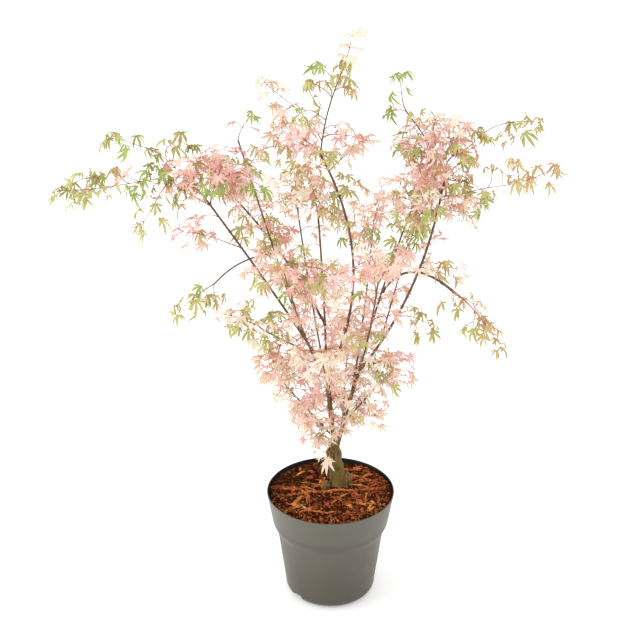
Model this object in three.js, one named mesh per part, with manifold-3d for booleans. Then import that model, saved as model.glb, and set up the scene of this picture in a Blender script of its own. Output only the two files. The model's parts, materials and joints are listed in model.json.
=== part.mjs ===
// A young Japanese maple in a plain round nursery pot.
//
// Units are millimetres, +Z is up and -Y is the front. The origin is the middle of the pot's flat underside.
// Headings are in degrees seen from above: 0 is to the right, 90 to the back, 180 to the left, 270 to the front.
//
// The pot and its soil are turned shapes. The trunk stands on the soil and divides into two stems. Boughs
// leave the stems and one another, each one a single tapering limb, and each ends where it enters a mass of
// foliage. Every mass is one closed uneven solid, and the sky shows between them.
import * as THREE from "three";
import { mergeVertices } from "three/addons/utils/BufferGeometryUtils.js";
import Module from "manifold-3d";

const manifold = await Module();
manifold.setup();

// Neighbouring pieces keep this much air between them, and a cut surface is this true.
const GAP = 0.3;
const CUT_TOLERANCE = 0.12;

// The pot: a 19 cm nursery pot with a deep collar, a sloping shoulder and a body that narrows to its foot.
const RIM_RADIUS = 95;
const POT_HEIGHT = 170;
const COLLAR_DEPTH = 51;
const COLLAR_FOOT_RADIUS = 86.3;
const SHOULDER_DEPTH = 13;
const BODY_TOP_RADIUS = 79.5;
const FOOT_RADIUS = 67.5;
const FOOT_ROUNDING = 15;
const POT_WALL = 2;
const POT_FLOOR = 3;
const POT_SIDES = 32;
const DRAIN_HEADINGS = [39, 219];
const DRAIN_WIDTH = 26;
const DRAIN_HEIGHT = 5;

// The soil: it stands as high as the rim round the trunk, falls off to the wall, and has a crumbly top.
const SOIL_TOP = 169;
const SOIL_EDGE = 165.5;
const SOIL_RINGS = 4;
const SOIL_CRUMBLE = 1.2;
const SOIL_LEVEL_RADIUS = 50;

// The trunk: a short one with a flared foot, a little behind the pot's middle.
const TRUNK_FOOT = new THREE.Vector3(5, 20, SOIL_TOP + GAP);
const TRUNK_FORK = new THREE.Vector3(7, 18, 228);
const TRUNK_FOOT_RADIUS = 10.5;
const TRUNK_FORK_RADIUS = 11;
const TRUNK_BOW = 2;
const TRUNK_SIDES = 12;
const TRUNK_STEPS = 8;
const FLARE_DEPTH = 6;
const FLARE_FADE = 0.1;
const FLARE_LOBES = 4;

// The stub of a cut shoot, which stands against the trunk's foot on its right.
const STUB_HEADING = 352;
const STUB_REACH = 17;
const STUB_HEIGHT = 18;
const STUB_RADIUS = 9.5;
const STUB_SIDES = 8;

// Headings and reaches of the limbs and masses are measured from this upright line.
const CROWN_AXIS = new THREE.Vector2(5, 12);

// The limbs have this many sides and steps along their length.
const LIMB_SIDES = 6;
const LIMB_STEPS = 6;

// A mass of foliage starts as a ball of facets, and its surface goes in and out by this share of its size.
const MASS_DETAIL = 2;
const SMALL_MASS_DETAIL = 1;
const SMALL_MASS_LENGTH = 97;
const MASS_UNEVENNESS = 0.16;

const COLOURS = {
  pot: 0x6f6a60,
  soil: 0x6b3a1e,
  bark: 0x74572e,
  youngBark: 0x6a4638,
  pink: 0xf0a3a3,
  peach: 0xf3c3a6,
  cream: 0xf6d8b8,
  green: 0x93b043,
};

// Every limb after the trunk. It leaves the limb named in "from" at the share "at" of that one's length,
// and its tip stands "reach" away from the crown's axis along "heading", at "height". "bow" pushes its
// middle sideways along "bowHeading" (outwards, where none is given) and "lift" pushes it up. "radii" are
// those at its foot and its tip, and "into" is the mass that it ends in.
const LIMBS = [
  { name: "stem_left", from: "trunk", at: 1, heading: 138, reach: 16, height: 358, radii: [5.6, 4.6] },
  { name: "stem_right", from: "trunk", at: 0.97, heading: 342, reach: 35, height: 363, radii: [4.6, 3.8] },

  { name: "bough_left_outer", from: "stem_left", at: 1, heading: 198, reach: 187, height: 658, bow: -6,
    radii: [2.7, 1.6], into: "mass_left_wing" },
  { name: "bough_centre", from: "stem_left", at: 0.96, heading: 149, reach: 35, height: 668, bow: -8,
    radii: [2.3, 1.5], into: "mass_crown_centre" },
  { name: "leader", from: "stem_left", at: 0.9, heading: 242, reach: 42, height: 705, bow: 84, bowHeading: 5,
    radii: [2.7, 1.5] },
  { name: "leader_tip", from: "leader", at: 1, heading: 275, reach: 28, height: 800, bow: -8, bowHeading: 0,
    radii: [1.3, 1.1], into: "mass_top_leader" },
  { name: "bough_left_upper", from: "bough_left_outer", at: 0.22, heading: 154, reach: 150, height: 690,
    radii: [1.9, 1.3], into: "mass_left_leader" },
  { name: "bough_left_middle", from: "bough_left_outer", at: 0.1, heading: 213, reach: 152, height: 490,
    bow: 12, radii: [1.7, 1.2], into: "mass_left_middle_front" },
  { name: "bough_left_back", from: "bough_centre", at: 0.25, heading: 140, reach: 198, height: 590, bow: -36,
    radii: [2.1, 1.4], into: "mass_left_back" },
  { name: "bough_left_arch", from: "bough_left_back", at: 0.5, heading: 168, reach: 186, height: 474, lift: 34,
    radii: [1.5, 1.1], into: "mass_left_arch" },
  { name: "bough_left_low", from: "stem_left", at: 0.16, heading: 208, reach: 100, height: 387,
    radii: [1.9, 1.3], into: "mass_left_low" },

  { name: "bough_right_outer", from: "stem_right", at: 1, heading: 346, reach: 150, height: 680, bow: 46,
    radii: [2.6, 1.6] },
  { name: "shoot_right", from: "bough_right_outer", at: 0.97, heading: 355, reach: 86, height: 764, bow: 14,
    radii: [1.2, 1.1], into: "mass_right_shoot" },
  { name: "bough_right_back", from: "stem_right", at: 0.95, heading: 40, reach: 150, height: 585, bow: -14,
    radii: [2.2, 1.4], into: "mass_right_back" },
  { name: "bough_right_inner", from: "bough_right_outer", at: 0.18, heading: 14, reach: 108, height: 556,
    radii: [1.7, 1.2], into: "mass_right_middle" },
  { name: "bough_right_arch", from: "bough_right_back", at: 0.5, heading: 334, reach: 176, height: 522, lift: 60,
    radii: [1.6, 1.1], into: "mass_right_arch" },
  { name: "bough_right_low", from: "stem_right", at: 0.36, heading: 330, reach: 92, height: 390,
    radii: [1.8, 1.3], into: "mass_right_low" },

  { name: "bough_front_left", from: "stem_left", at: 0.84, heading: 250, reach: 180, height: 575, bow: 20,
    radii: [2, 1.3], into: "mass_front_left" },
  { name: "bough_front_right", from: "stem_right", at: 0.86, heading: 288, reach: 178, height: 590, bow: 20,
    radii: [2, 1.3], into: "mass_front_right" },
  { name: "bough_front_low", from: "stem_left", at: 0.45, heading: 262, reach: 122, height: 440,
    radii: [1.8, 1.3], into: "mass_front_low" },
  { name: "bough_back_left", from: "stem_left", at: 0.78, heading: 108, reach: 186, height: 570, bow: 20,
    radii: [2, 1.3], into: "mass_back_left" },
  { name: "bough_back_right", from: "stem_right", at: 0.76, heading: 70, reach: 175, height: 534, bow: 20,
    radii: [2, 1.3], into: "mass_back_right" },
  { name: "bough_back_low", from: "stem_right", at: 0.3, heading: 78, reach: 112, height: 380,
    radii: [1.7, 1.3], into: "mass_back_low" },
];

// Every mass of foliage. Its middle stands "reach" away from the crown's axis along "heading", at "height".
// Its length runs along that heading, or along "turn" where one is given, and climbs by "rise" degrees. It
// narrows towards its outer end by "taper", and its two ends hang down by "droop".
const MASSES = [
  { name: "mass_left_wing", heading: 197, reach: 172, height: 682, length: 140, width: 95, thickness: 72,
    taper: 0.1, colour: "pink" },
  { name: "mass_left_tip_low", heading: 195, reach: 311, height: 684, length: 166, width: 62, thickness: 30,
    rise: -4, droop: 8, taper: 0.35, colour: "green" },
  { name: "mass_left_tip_high", heading: 177, reach: 248, height: 703, length: 146, width: 56, thickness: 28,
    turn: 162, rise: 7, taper: 0.35, colour: "green" },
  { name: "mass_left_hanging", heading: 199, reach: 236, height: 640, length: 88, width: 50, thickness: 34,
    rise: -20, taper: 0.2, colour: "green" },
  { name: "mass_left_leader", heading: 151, reach: 112, height: 728, length: 130, width: 90, thickness: 84,
    rise: 78, taper: 0.45, colour: "peach" },
  { name: "mass_left_back", heading: 140, reach: 196, height: 612, length: 116, width: 84, thickness: 56,
    rise: 16, taper: 0.2, colour: "pink" },
  { name: "mass_left_middle", heading: 140, reach: 128, height: 560, length: 96, width: 74, thickness: 56,
    rise: 30, taper: 0.1, colour: "peach" },
  { name: "mass_left_middle_front", heading: 212, reach: 140, height: 484, length: 92, width: 72, thickness: 56,
    rise: 20, taper: 0.2, colour: "peach" },
  { name: "mass_left_arch", heading: 171, reach: 198, height: 462, length: 84, width: 48, thickness: 30,
    rise: -30, taper: 0.3, colour: "green" },
  { name: "mass_left_low", heading: 206, reach: 84, height: 394, length: 90, width: 74, thickness: 74,
    rise: 35, taper: -0.1, colour: "cream" },
  { name: "mass_left_foot", heading: 228, reach: 66, height: 330, length: 58, width: 52, thickness: 44,
    rise: 25, taper: 0.1, colour: "cream" },

  { name: "mass_crown_top", heading: 232, reach: 42, height: 730, length: 96, width: 78, thickness: 76,
    rise: 65, taper: 0.2, colour: "pink" },
  { name: "mass_top_leader", heading: 305, reach: 36, height: 824, length: 112, width: 38, thickness: 34,
    rise: 84, taper: 0.4, colour: "green" },
  { name: "mass_crown_centre", heading: 140, reach: 26, height: 640, length: 96, width: 84, thickness: 78,
    rise: 75, taper: 0.1, colour: "pink" },
  { name: "mass_centre_front", heading: 268, reach: 120, height: 560, length: 92, width: 84, thickness: 62,
    rise: 30, taper: 0.1, colour: "peach" },
  { name: "mass_centre", heading: 330, reach: 22, height: 425, length: 100, width: 78, thickness: 78,
    rise: 80, taper: -0.1, colour: "cream" },
  { name: "mass_centre_low", heading: 291, reach: 12, height: 300, length: 74, width: 70, thickness: 66,
    rise: 85, taper: -0.2, colour: "cream" },

  { name: "mass_right_wing", heading: 350, reach: 142, height: 722, length: 130, width: 92, thickness: 76,
    taper: 0.1, colour: "pink" },
  { name: "mass_right_wing_low", heading: 340, reach: 134, height: 642, length: 92, width: 72, thickness: 62,
    rise: 30, taper: 0.1, colour: "pink" },
  { name: "mass_right_tip_high", heading: 6, reach: 230, height: 727, length: 124, width: 54, thickness: 30,
    turn: 18, rise: 3, droop: 5, taper: 0.3, colour: "green" },
  { name: "mass_right_tip_low", heading: 343, reach: 250, height: 702, length: 104, width: 54, thickness: 32,
    rise: 4, droop: 5, taper: 0.3, colour: "green" },
  { name: "mass_right_shoot", heading: 356, reach: 86, height: 776, length: 62, width: 34, thickness: 30,
    rise: 82, taper: 0.4, colour: "green" },
  { name: "mass_right_back", heading: 42, reach: 152, height: 612, length: 112, width: 82, thickness: 56,
    rise: 20, taper: 0.15, colour: "peach" },
  { name: "mass_right_middle", heading: 18, reach: 112, height: 566, length: 92, width: 66, thickness: 60,
    rise: 62, taper: 0.1, colour: "pink" },
  { name: "mass_right_arch", heading: 337, reach: 208, height: 486, length: 112, width: 52, thickness: 34,
    rise: -46, taper: 0.3, colour: "green" },
  { name: "mass_right_low", heading: 330, reach: 84, height: 386, length: 88, width: 70, thickness: 68,
    rise: 40, taper: -0.1, colour: "peach" },
  { name: "mass_right_foot", heading: 325, reach: 60, height: 322, length: 54, width: 48, thickness: 42,
    rise: 35, taper: 0.1, colour: "cream" },

  { name: "mass_front_left", heading: 250, reach: 178, height: 590, length: 110, width: 92, thickness: 60,
    rise: 25, taper: 0.15, colour: "pink" },
  { name: "mass_front_right", heading: 288, reach: 178, height: 605, length: 110, width: 92, thickness: 60,
    rise: 25, taper: 0.15, colour: "peach" },
  { name: "mass_front_low", heading: 262, reach: 116, height: 446, length: 92, width: 84, thickness: 58,
    rise: 30, taper: 0.1, colour: "cream" },
  { name: "mass_back_left", heading: 108, reach: 186, height: 590, length: 116, width: 96, thickness: 62,
    rise: 25, taper: 0.15, colour: "pink" },
  { name: "mass_back_right", heading: 70, reach: 176, height: 550, length: 112, width: 92, thickness: 60,
    rise: 25, taper: 0.15, colour: "peach" },
  { name: "mass_back_low", heading: 80, reach: 108, height: 386, length: 92, width: 84, thickness: 58,
    rise: 30, taper: 0.1, colour: "cream" },
];

// A step along a heading, at a height of its own.
function along(heading, reach, rise = 0) {
  const angle = THREE.MathUtils.degToRad(heading);
  return new THREE.Vector3(reach * Math.cos(angle), reach * Math.sin(angle), rise);
}

// The point that stands at a reach from the crown's axis along a heading, at a height.
function place(heading, reach, height) {
  return along(heading, reach, height).add(new THREE.Vector3(CROWN_AXIS.x, CROWN_AXIS.y, 0));
}

// A closed geometry as a solid that can be joined and cut. Faces that shrank to a line are dropped.
function solidOf(geometry) {
  geometry.deleteAttribute("normal");
  geometry.deleteAttribute("uv");
  const merged = mergeVertices(geometry, 1e-4);
  const corners = [...merged.index.array];
  const faces = [];
  for (let i = 0; i < corners.length; i += 3) {
    const face = corners.slice(i, i + 3);
    if (new Set(face).size === 3) faces.push(...face);
  }
  return new manifold.Manifold(
    new manifold.Mesh({
      numProp: 3,
      vertProperties: new Float32Array(merged.attributes.position.array),
      triVerts: new Uint32Array(faces),
    }),
  );
}

// A solid as a geometry for a mesh.
function geometryOf(solid) {
  const { vertProperties, triVerts } = solid.getMesh();
  const geometry = new THREE.BufferGeometry();
  geometry.setAttribute("position", new THREE.BufferAttribute(vertProperties, 3));
  geometry.setIndex(new THREE.BufferAttribute(triVerts, 1));
  geometry.computeVertexNormals();
  return geometry;
}

// What is left of a solid once the cutters are taken out of it: its largest piece, where it falls apart,
// without the slivers that the cutting leaves.
function cut(solid, cutters) {
  const left = cutters.length ? solid.subtract(manifold.Manifold.union(cutters)) : solid;
  const pieces = left.simplify(CUT_TOLERANCE).decompose();
  return pieces.reduce((most, piece) => (piece.volume() > most.volume() ? piece : most));
}

// A profile of [radius, height] pairs turned about the vertical axis.
function turned(profile, sides) {
  const points = profile.map(([radius, height]) => new THREE.Vector2(radius, height));
  return new THREE.LatheGeometry(points, sides).rotateX(Math.PI / 2);
}

// The pot's outer radius at a height above the foot's rounding, straight between its four named rings.
const SHOULDER_TOP = POT_HEIGHT - COLLAR_DEPTH;
const SHOULDER_FOOT = SHOULDER_TOP - SHOULDER_DEPTH;
function potRadius(height) {
  const { lerp, mapLinear } = THREE.MathUtils;
  if (height >= SHOULDER_TOP) return mapLinear(height, SHOULDER_TOP, POT_HEIGHT, COLLAR_FOOT_RADIUS, RIM_RADIUS);
  if (height >= SHOULDER_FOOT) {
    return mapLinear(height, SHOULDER_FOOT, SHOULDER_TOP, BODY_TOP_RADIUS, COLLAR_FOOT_RADIUS);
  }
  return lerp(FOOT_RADIUS, BODY_TOP_RADIUS, height / SHOULDER_FOOT);
}

function makePot() {
  const roundingSteps = 2;
  const profile = [[0, 0]];
  for (let i = 0; i <= roundingSteps; i++) {
    const turn = (i / roundingSteps) * (Math.PI / 2);
    profile.push([
      FOOT_RADIUS - FOOT_ROUNDING * (1 - Math.sin(turn)),
      FOOT_ROUNDING * (1 - Math.cos(turn)),
    ]);
  }
  for (const height of [SHOULDER_FOOT, SHOULDER_TOP, POT_HEIGHT]) profile.push([potRadius(height), height]);
  for (const height of [POT_HEIGHT, SHOULDER_TOP, SHOULDER_FOOT]) {
    profile.push([potRadius(height) - POT_WALL, height]);
  }
  profile.push([FOOT_RADIUS - POT_WALL, FOOT_ROUNDING]);
  profile.push([FOOT_RADIUS - FOOT_ROUNDING, POT_FLOOR]);
  profile.push([0, POT_FLOOR]);
  const notches = DRAIN_HEADINGS.map((heading) => {
    const notch = new THREE.BoxGeometry(FOOT_ROUNDING, DRAIN_WIDTH, DRAIN_HEIGHT);
    notch.translate(FOOT_RADIUS, 0, DRAIN_HEIGHT / 2 + 1);
    return solidOf(notch.rotateZ(THREE.MathUtils.degToRad(heading)));
  });
  return cut(solidOf(turned(profile, POT_SIDES)), notches);
}

// The height of the soil's top. It is level under the trunk, and falls and crumbles towards the wall.
function soilHeight(x, y, edge) {
  const away = Math.hypot(x - TRUNK_FOOT.x, y - TRUNK_FOOT.y);
  const fade = THREE.MathUtils.smoothstep(away, SOIL_LEVEL_RADIUS, edge);
  const crumble = SOIL_CRUMBLE * Math.sin(0.11 * x + 0.8) * Math.cos(0.13 * y + 0.07 * x);
  return THREE.MathUtils.lerp(SOIL_TOP, SOIL_EDGE, fade) + fade * crumble;
}

function makeSoil() {
  const inset = POT_WALL + GAP;
  const profile = [
    [0, POT_FLOOR + GAP],
    [FOOT_RADIUS - FOOT_ROUNDING - 1, POT_FLOOR + GAP],
    [FOOT_RADIUS - inset, FOOT_ROUNDING],
    [potRadius(SHOULDER_FOOT) - inset, SHOULDER_FOOT],
    [potRadius(SHOULDER_TOP) - inset, SHOULDER_TOP],
  ];
  const edge = potRadius(SOIL_EDGE) - inset;
  for (let i = SOIL_RINGS; i >= 0; i--) profile.push([(edge * i) / SOIL_RINGS, SOIL_EDGE]);
  const geometry = turned(profile, POT_SIDES);
  const position = geometry.attributes.position;
  for (let i = 0; i < position.count; i++) {
    const [x, y, z] = [position.getX(i), position.getY(i), position.getZ(i)];
    const insideTop = z > SOIL_EDGE - GAP && Math.hypot(x, y) < edge - 1;
    if (insideTop) position.setZ(i, soilHeight(x, y, edge));
  }
  return solidOf(geometry);
}

// A limb: a closed cylinder with its rings laid along a curve. The radius is a function of the share of the
// curve's length from the foot, 0 to 1, and of the heading round it.
function limbGeometry(curve, radiusAt, sides, steps) {
  const geometry = new THREE.CylinderGeometry(1, 1, 1, sides, steps);
  const position = geometry.attributes.position;
  const frames = curve.computeFrenetFrames(steps);
  const across = new THREE.Vector3();
  for (let i = 0; i < position.count; i++) {
    const share = position.getY(i) + 0.5;
    const ring = Math.round(share * steps);
    across
      .copy(frames.binormals[ring])
      .multiplyScalar(position.getX(i))
      .addScaledVector(frames.normals[ring], position.getZ(i));
    const radius = radiusAt(share, Math.atan2(across.y, across.x));
    const point = curve.getPointAt(share).addScaledVector(across, radius);
    position.setXYZ(i, point.x, point.y, point.z);
  }
  return geometry;
}

// The trunk's curve: upright from its flat foot, then bowed over to its fork.
function trunkCurve() {
  const third = (TRUNK_FORK.z - TRUNK_FOOT.z) / 3;
  const above = TRUNK_FOOT.clone().add(new THREE.Vector3(0, 0, third));
  const below = TRUNK_FORK.clone().add(new THREE.Vector3(-TRUNK_BOW, 0, -third));
  return new THREE.CubicBezierCurve3(TRUNK_FOOT, above, below, TRUNK_FORK);
}

// The trunk's radius: an even taper and a lobed flare that dies away above the ground.
function trunkRadius(share, heading) {
  const flare = Math.exp(-share / FLARE_FADE) * (0.7 + 0.3 * Math.cos(FLARE_LOBES * heading));
  return THREE.MathUtils.lerp(TRUNK_FOOT_RADIUS, TRUNK_FORK_RADIUS, share) + FLARE_DEPTH * flare;
}

// The cut stub: a short upright post with a rounded top.
function stubSolid() {
  const profile = [
    [0, 0],
    [STUB_RADIUS * 1.1, 0],
    [STUB_RADIUS, STUB_HEIGHT * 0.6],
    [STUB_RADIUS * 0.7, STUB_HEIGHT * 0.92],
    [0, STUB_HEIGHT],
  ];
  const place = along(STUB_HEADING, STUB_REACH).add(TRUNK_FOOT);
  return solidOf(turned(profile, STUB_SIDES).translate(place.x, place.y, place.z));
}

// A limb's curve from its foot on the parent to its tip, bent by its bow and lift.
function limbCurve({ heading, reach, height, bow = 0, bowHeading = heading, lift = 0 }, foot) {
  const tip = place(heading, reach, height);
  const middle = foot.clone().lerp(tip, 0.5).add(along(bowHeading, bow, lift));
  return new THREE.QuadraticBezierCurve3(foot, middle, tip);
}

function limbSolid(curve, [footRadius, tipRadius], growth) {
  const radiusAt = (share) => THREE.MathUtils.lerp(footRadius, tipRadius, share) + growth;
  return solidOf(limbGeometry(curve, radiusAt, LIMB_SIDES, LIMB_STEPS));
}

// Waves that run three ways over a ball, moved by the seed so that no two masses are alike: -1 to 1.
function bumps({ x, y, z }, seed) {
  const first = Math.sin(3.1 * x + 2.3 * y + 1.7 * seed);
  const second = Math.sin(3.7 * y - 2.9 * z + 2.9 * seed);
  const third = Math.sin(4.3 * z + 3.3 * x - 4.1 * seed);
  return (first + second + third) / 3;
}

// A mass of foliage: a ball of facets made uneven, narrowed along its length, hung, stretched to its sizes,
// and set in its place. "growth" makes it that much larger all round.
function massSolid(mass, seed, growth) {
  const { heading, reach, height, length, width, thickness } = mass;
  const { turn = heading, rise = 0, taper = 0, droop = 0 } = mass;
  const geometry = new THREE.IcosahedronGeometry(1, length < SMALL_MASS_LENGTH ? SMALL_MASS_DETAIL : MASS_DETAIL);
  const position = geometry.attributes.position;
  const half = new THREE.Vector3(length, width, thickness).multiplyScalar(0.5).addScalar(growth);
  const point = new THREE.Vector3();
  for (let i = 0; i < position.count; i++) {
    point.fromBufferAttribute(position, i);
    const narrowing = 1 - taper * point.x;
    const fall = droop * point.x ** 2;
    point.multiplyScalar(1 + MASS_UNEVENNESS * bumps(point, seed)).multiply(half);
    position.setXYZ(i, point.x, point.y * narrowing, point.z * narrowing - fall);
  }
  geometry.rotateY(-THREE.MathUtils.degToRad(rise));
  geometry.rotateZ(THREE.MathUtils.degToRad(turn));
  const middle = place(heading, reach, height);
  return solidOf(geometry.translate(middle.x, middle.y, middle.z));
}

// The trunk and every limb, each cut clear of the limbs before it and of the mass that it ends in.
function makeLimbs() {
  const growth = 1.5 * GAP;
  const trunk = trunkCurve();
  const curves = new Map([["trunk", trunk]]);
  const trunkSolid = solidOf(limbGeometry(trunk, trunkRadius, TRUNK_SIDES, TRUNK_STEPS));
  const solids = new Map([["trunk", trunkSolid.add(stubSolid())]]);
  const fatTrunkRadius = (share, heading) => trunkRadius(share, heading) + growth;
  const fatTrunk = solidOf(limbGeometry(trunk, fatTrunkRadius, TRUNK_SIDES, TRUNK_STEPS));
  const grown = [{ name: "trunk", solid: fatTrunk.add(fatTrunk.translate([0, 0, growth])) }];
  for (const limb of LIMBS) {
    const foot = curves.get(limb.from).getPointAt(limb.at);
    const curve = limbCurve(limb, foot);
    const cutters = grown.map((other) => other.solid);
    const mass = MASSES.findIndex(({ name }) => name === limb.into);
    if (mass >= 0) cutters.push(massSolid(MASSES[mass], mass, growth));
    curves.set(limb.name, curve);
    solids.set(limb.name, cut(limbSolid(curve, limb.radii, 0), cutters));
    grown.push({ name: limb.name, into: limb.into, solid: limbSolid(curve, limb.radii, growth) });
  }
  return { solids, grown };
}

// Every mass, cut clear of the masses before it and of the limbs that run through it.
function makeMasses(grownLimbs) {
  const growth = 1.5 * GAP;
  const grownMasses = [];
  const solids = new Map();
  MASSES.forEach((mass, seed) => {
    const through = grownLimbs.filter(({ into }) => into !== mass.name).map(({ solid }) => solid);
    solids.set(mass.name, cut(massSolid(mass, seed, 0), [...grownMasses, ...through]));
    grownMasses.push(massSolid(mass, seed, growth));
  });
  return solids;
}

function addMesh(group, name, solid, colour, roughness) {
  const material = new THREE.MeshStandardMaterial({ color: colour, roughness, metalness: 0 });
  const mesh = new THREE.Mesh(geometryOf(solid), material);
  mesh.name = name;
  group.add(mesh);
}

const tree = new THREE.Group();
const limbs = makeLimbs();
const masses = makeMasses(limbs.grown);
addMesh(tree, "pot", makePot(), COLOURS.pot, 0.55);
addMesh(tree, "soil", makeSoil(), COLOURS.soil, 0.95);
for (const [name, solid] of limbs.solids) {
  addMesh(tree, name, solid, name.startsWith("bough") ? COLOURS.youngBark : COLOURS.bark, 0.8);
}
for (const { name, colour } of MASSES) addMesh(tree, name, masses.get(name), COLOURS[colour], 0.7);

export default tree;
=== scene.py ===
# %% [markdown]
# # A potted Japanese maple
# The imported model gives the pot, the soil, the trunk and its limbs, and one plain solid for each mass of
# foliage. This lesson keeps those places and sizes, and makes what the eye sees: moulded plastic, loose
# potting mix, bark, twigs and about two thousand leaves. Lengths are in metres, so a size in millimetres is
# written as a number times MM.

# %% Load the frame
import json
import math

import bpy
import numpy as np
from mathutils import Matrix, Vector


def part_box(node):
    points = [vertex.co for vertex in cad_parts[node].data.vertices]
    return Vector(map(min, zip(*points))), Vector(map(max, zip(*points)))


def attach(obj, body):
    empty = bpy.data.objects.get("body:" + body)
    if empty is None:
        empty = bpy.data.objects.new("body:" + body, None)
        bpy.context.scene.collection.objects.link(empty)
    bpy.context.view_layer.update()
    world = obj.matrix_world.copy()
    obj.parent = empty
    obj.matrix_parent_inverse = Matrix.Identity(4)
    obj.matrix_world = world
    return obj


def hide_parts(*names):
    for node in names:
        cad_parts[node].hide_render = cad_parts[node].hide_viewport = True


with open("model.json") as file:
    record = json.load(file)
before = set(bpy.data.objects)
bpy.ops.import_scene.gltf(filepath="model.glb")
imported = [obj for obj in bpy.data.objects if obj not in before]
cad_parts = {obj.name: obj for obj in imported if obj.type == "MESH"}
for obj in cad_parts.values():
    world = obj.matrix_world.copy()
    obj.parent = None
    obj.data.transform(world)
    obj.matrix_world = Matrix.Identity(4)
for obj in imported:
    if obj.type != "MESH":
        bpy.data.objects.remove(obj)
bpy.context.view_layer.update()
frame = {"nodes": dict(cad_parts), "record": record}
MM = 0.001
SEED = 23
UP = np.array([0.0, 0.0, 1.0])

# %% [markdown]
# ## Reading the frame
# Every CAD node sits at the origin with its place in its vertices, so a node is read as an array of points.
# A limb was drawn as a tube along a gentle arc. Its centre line comes back as the parabola that passes
# closest to its points, which needs no knowledge of how the tube was made.

# %% Points and centre lines of the nodes
def unit(vectors):
    """Vectors divided by their own lengths."""
    return vectors / np.maximum(np.linalg.norm(vectors, axis=-1, keepdims=True), 1e-12)


def node_points(name):
    """The vertices of a CAD node, one row each."""
    vertices = frame["nodes"][name].data.vertices
    points = np.empty(3 * len(vertices), np.float32)
    vertices.foreach_get("co", points)
    return points.reshape(-1, 3).astype(float)


def surface_points(name, count, draw):
    """Points spread evenly over a node's surface: a triangle is picked by its area, then a point in it."""
    mesh = frame["nodes"][name].data
    mesh.calc_loop_triangles()
    corners = np.empty(3 * len(mesh.loop_triangles), np.int32)
    mesh.loop_triangles.foreach_get("vertices", corners)
    a, b, c = node_points(name)[corners.reshape(-1, 3)].transpose(1, 0, 2)
    area = np.linalg.norm(np.cross(b - a, c - a), axis=1)
    pick = draw.choice(len(area), count, p=area / area.sum())
    share = draw.dirichlet((1, 1, 1), count)
    return share[:, :1] * a[pick] + share[:, 1:2] * b[pick] + share[:, 2:] * c[pick]


def fitted_limb(name, parent_line):
    """A limb's parabola as coefficients of (share^2, share, 1), and its radius near its foot and its tip.

    The share runs from 0 at the end nearer to the parent to 1 at the other, along the longest axis.
    """
    points = surface_points(name, 900, np.random.default_rng(SEED))
    middle = points.mean(0)
    axis = np.linalg.svd(points - middle, full_matrices=False)[2][0]
    along = (points - middle) @ axis
    ends = [points[along.argmin()], points[along.argmax()]]
    away = [np.linalg.norm(parent_line - end, axis=1).min() for end in ends]
    if away[1] < away[0]:
        along = -along
    share = (along - along.min()) / np.ptp(along)
    powers = np.vander(share, 3)
    arc = np.linalg.lstsq(powers, points, rcond=None)[0]
    girth = np.linalg.norm(points - powers @ arc, axis=1)
    foot, tip = (np.percentile(girth[side], 80) for side in (share < 0.35, share > 0.65))
    return arc, foot, tip


def on_arc(arc, shares):
    """Points of a parabola at the given shares."""
    return np.vander(np.atleast_1d(shares), 3) @ arc


trunk_points = node_points("trunk")
trunk_low, trunk_high = trunk_points[:, 2].min(), trunk_points[:, 2].max()
trunk_foot = trunk_points[trunk_points[:, 2] < trunk_low + 1 * MM].mean(0)
trunk_fork = trunk_points[trunk_points[:, 2] > trunk_high - 2 * MM].mean(0)
print("trunk from", trunk_foot.round(4), "to", trunk_fork.round(4))

# %% [markdown]
# ## Meshes from arrays
# Everything new is worked out as whole numpy arrays, and one helper turns an array of points and an array
# of faces into an object. Adding faces one by one would do too, but it is slow for half a million of them.

# %% A mesh from points and faces
def headings_of(sides):
    """Evenly spaced headings once round, in radians."""
    return np.arange(sides) * 2 * math.pi / sides


def circle(sides):
    """The points of a level circle of radius 1, one for each heading."""
    heading = headings_of(sides)
    return np.stack([np.cos(heading), np.sin(heading), 0 * heading], -1)


def new_piece(name, points, faces, finishes, smooth=True, finish_of_face=None):
    """An object at the origin. faces is a list of arrays, each of triangles or of quads."""
    faces = [part for part in faces if len(part)]
    corners = np.concatenate([part.ravel() for part in faces]).astype(np.int32)
    sizes = np.concatenate([np.full(len(part), part.shape[1]) for part in faces])
    mesh = bpy.data.meshes.new(name)
    mesh.vertices.add(len(points))
    mesh.vertices.foreach_set("co", np.asarray(points, np.float32).ravel())
    mesh.loops.add(len(corners))
    mesh.loops.foreach_set("vertex_index", corners)
    mesh.polygons.add(len(sizes))
    mesh.polygons.foreach_set("loop_start", (np.cumsum(sizes) - sizes).astype(np.int32))
    for finish in finishes:
        mesh.materials.append(finish.material)
    if finish_of_face is not None:
        mesh.polygons.foreach_set("material_index", np.asarray(finish_of_face, np.int32))
    mesh.polygons.foreach_set("use_smooth", np.full(len(sizes), smooth))
    mesh.update(calc_edges=True)
    mesh.validate()
    piece = bpy.data.objects.new(name, mesh)
    bpy.context.scene.collection.objects.link(piece)
    print(f"{name}: {int((sizes - 2).sum())} triangles")
    return piece


def grid_faces(rows, columns, around=False):
    """Quads of a grid of rows x columns points. around joins the last column to the first."""
    r = np.arange(rows - 1)[:, None]
    c = np.arange(columns if around else columns - 1)[None, :]
    following = (c + 1) % columns
    quad = [r * columns + c, r * columns + following, (r + 1) * columns + following, (r + 1) * columns + c]
    return np.stack(quad, -1).reshape(-1, 4)


def fan(centre, first, sides, reverse=False):
    """Triangles from one centre point to a ring of points. The ring starts at the point numbered first."""
    side = np.arange(sides)
    following = (side + 1) % sides
    near, far = (following, side) if reverse else (side, following)
    return np.stack([np.full(sides, centre), first + near, first + far], -1)


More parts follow.
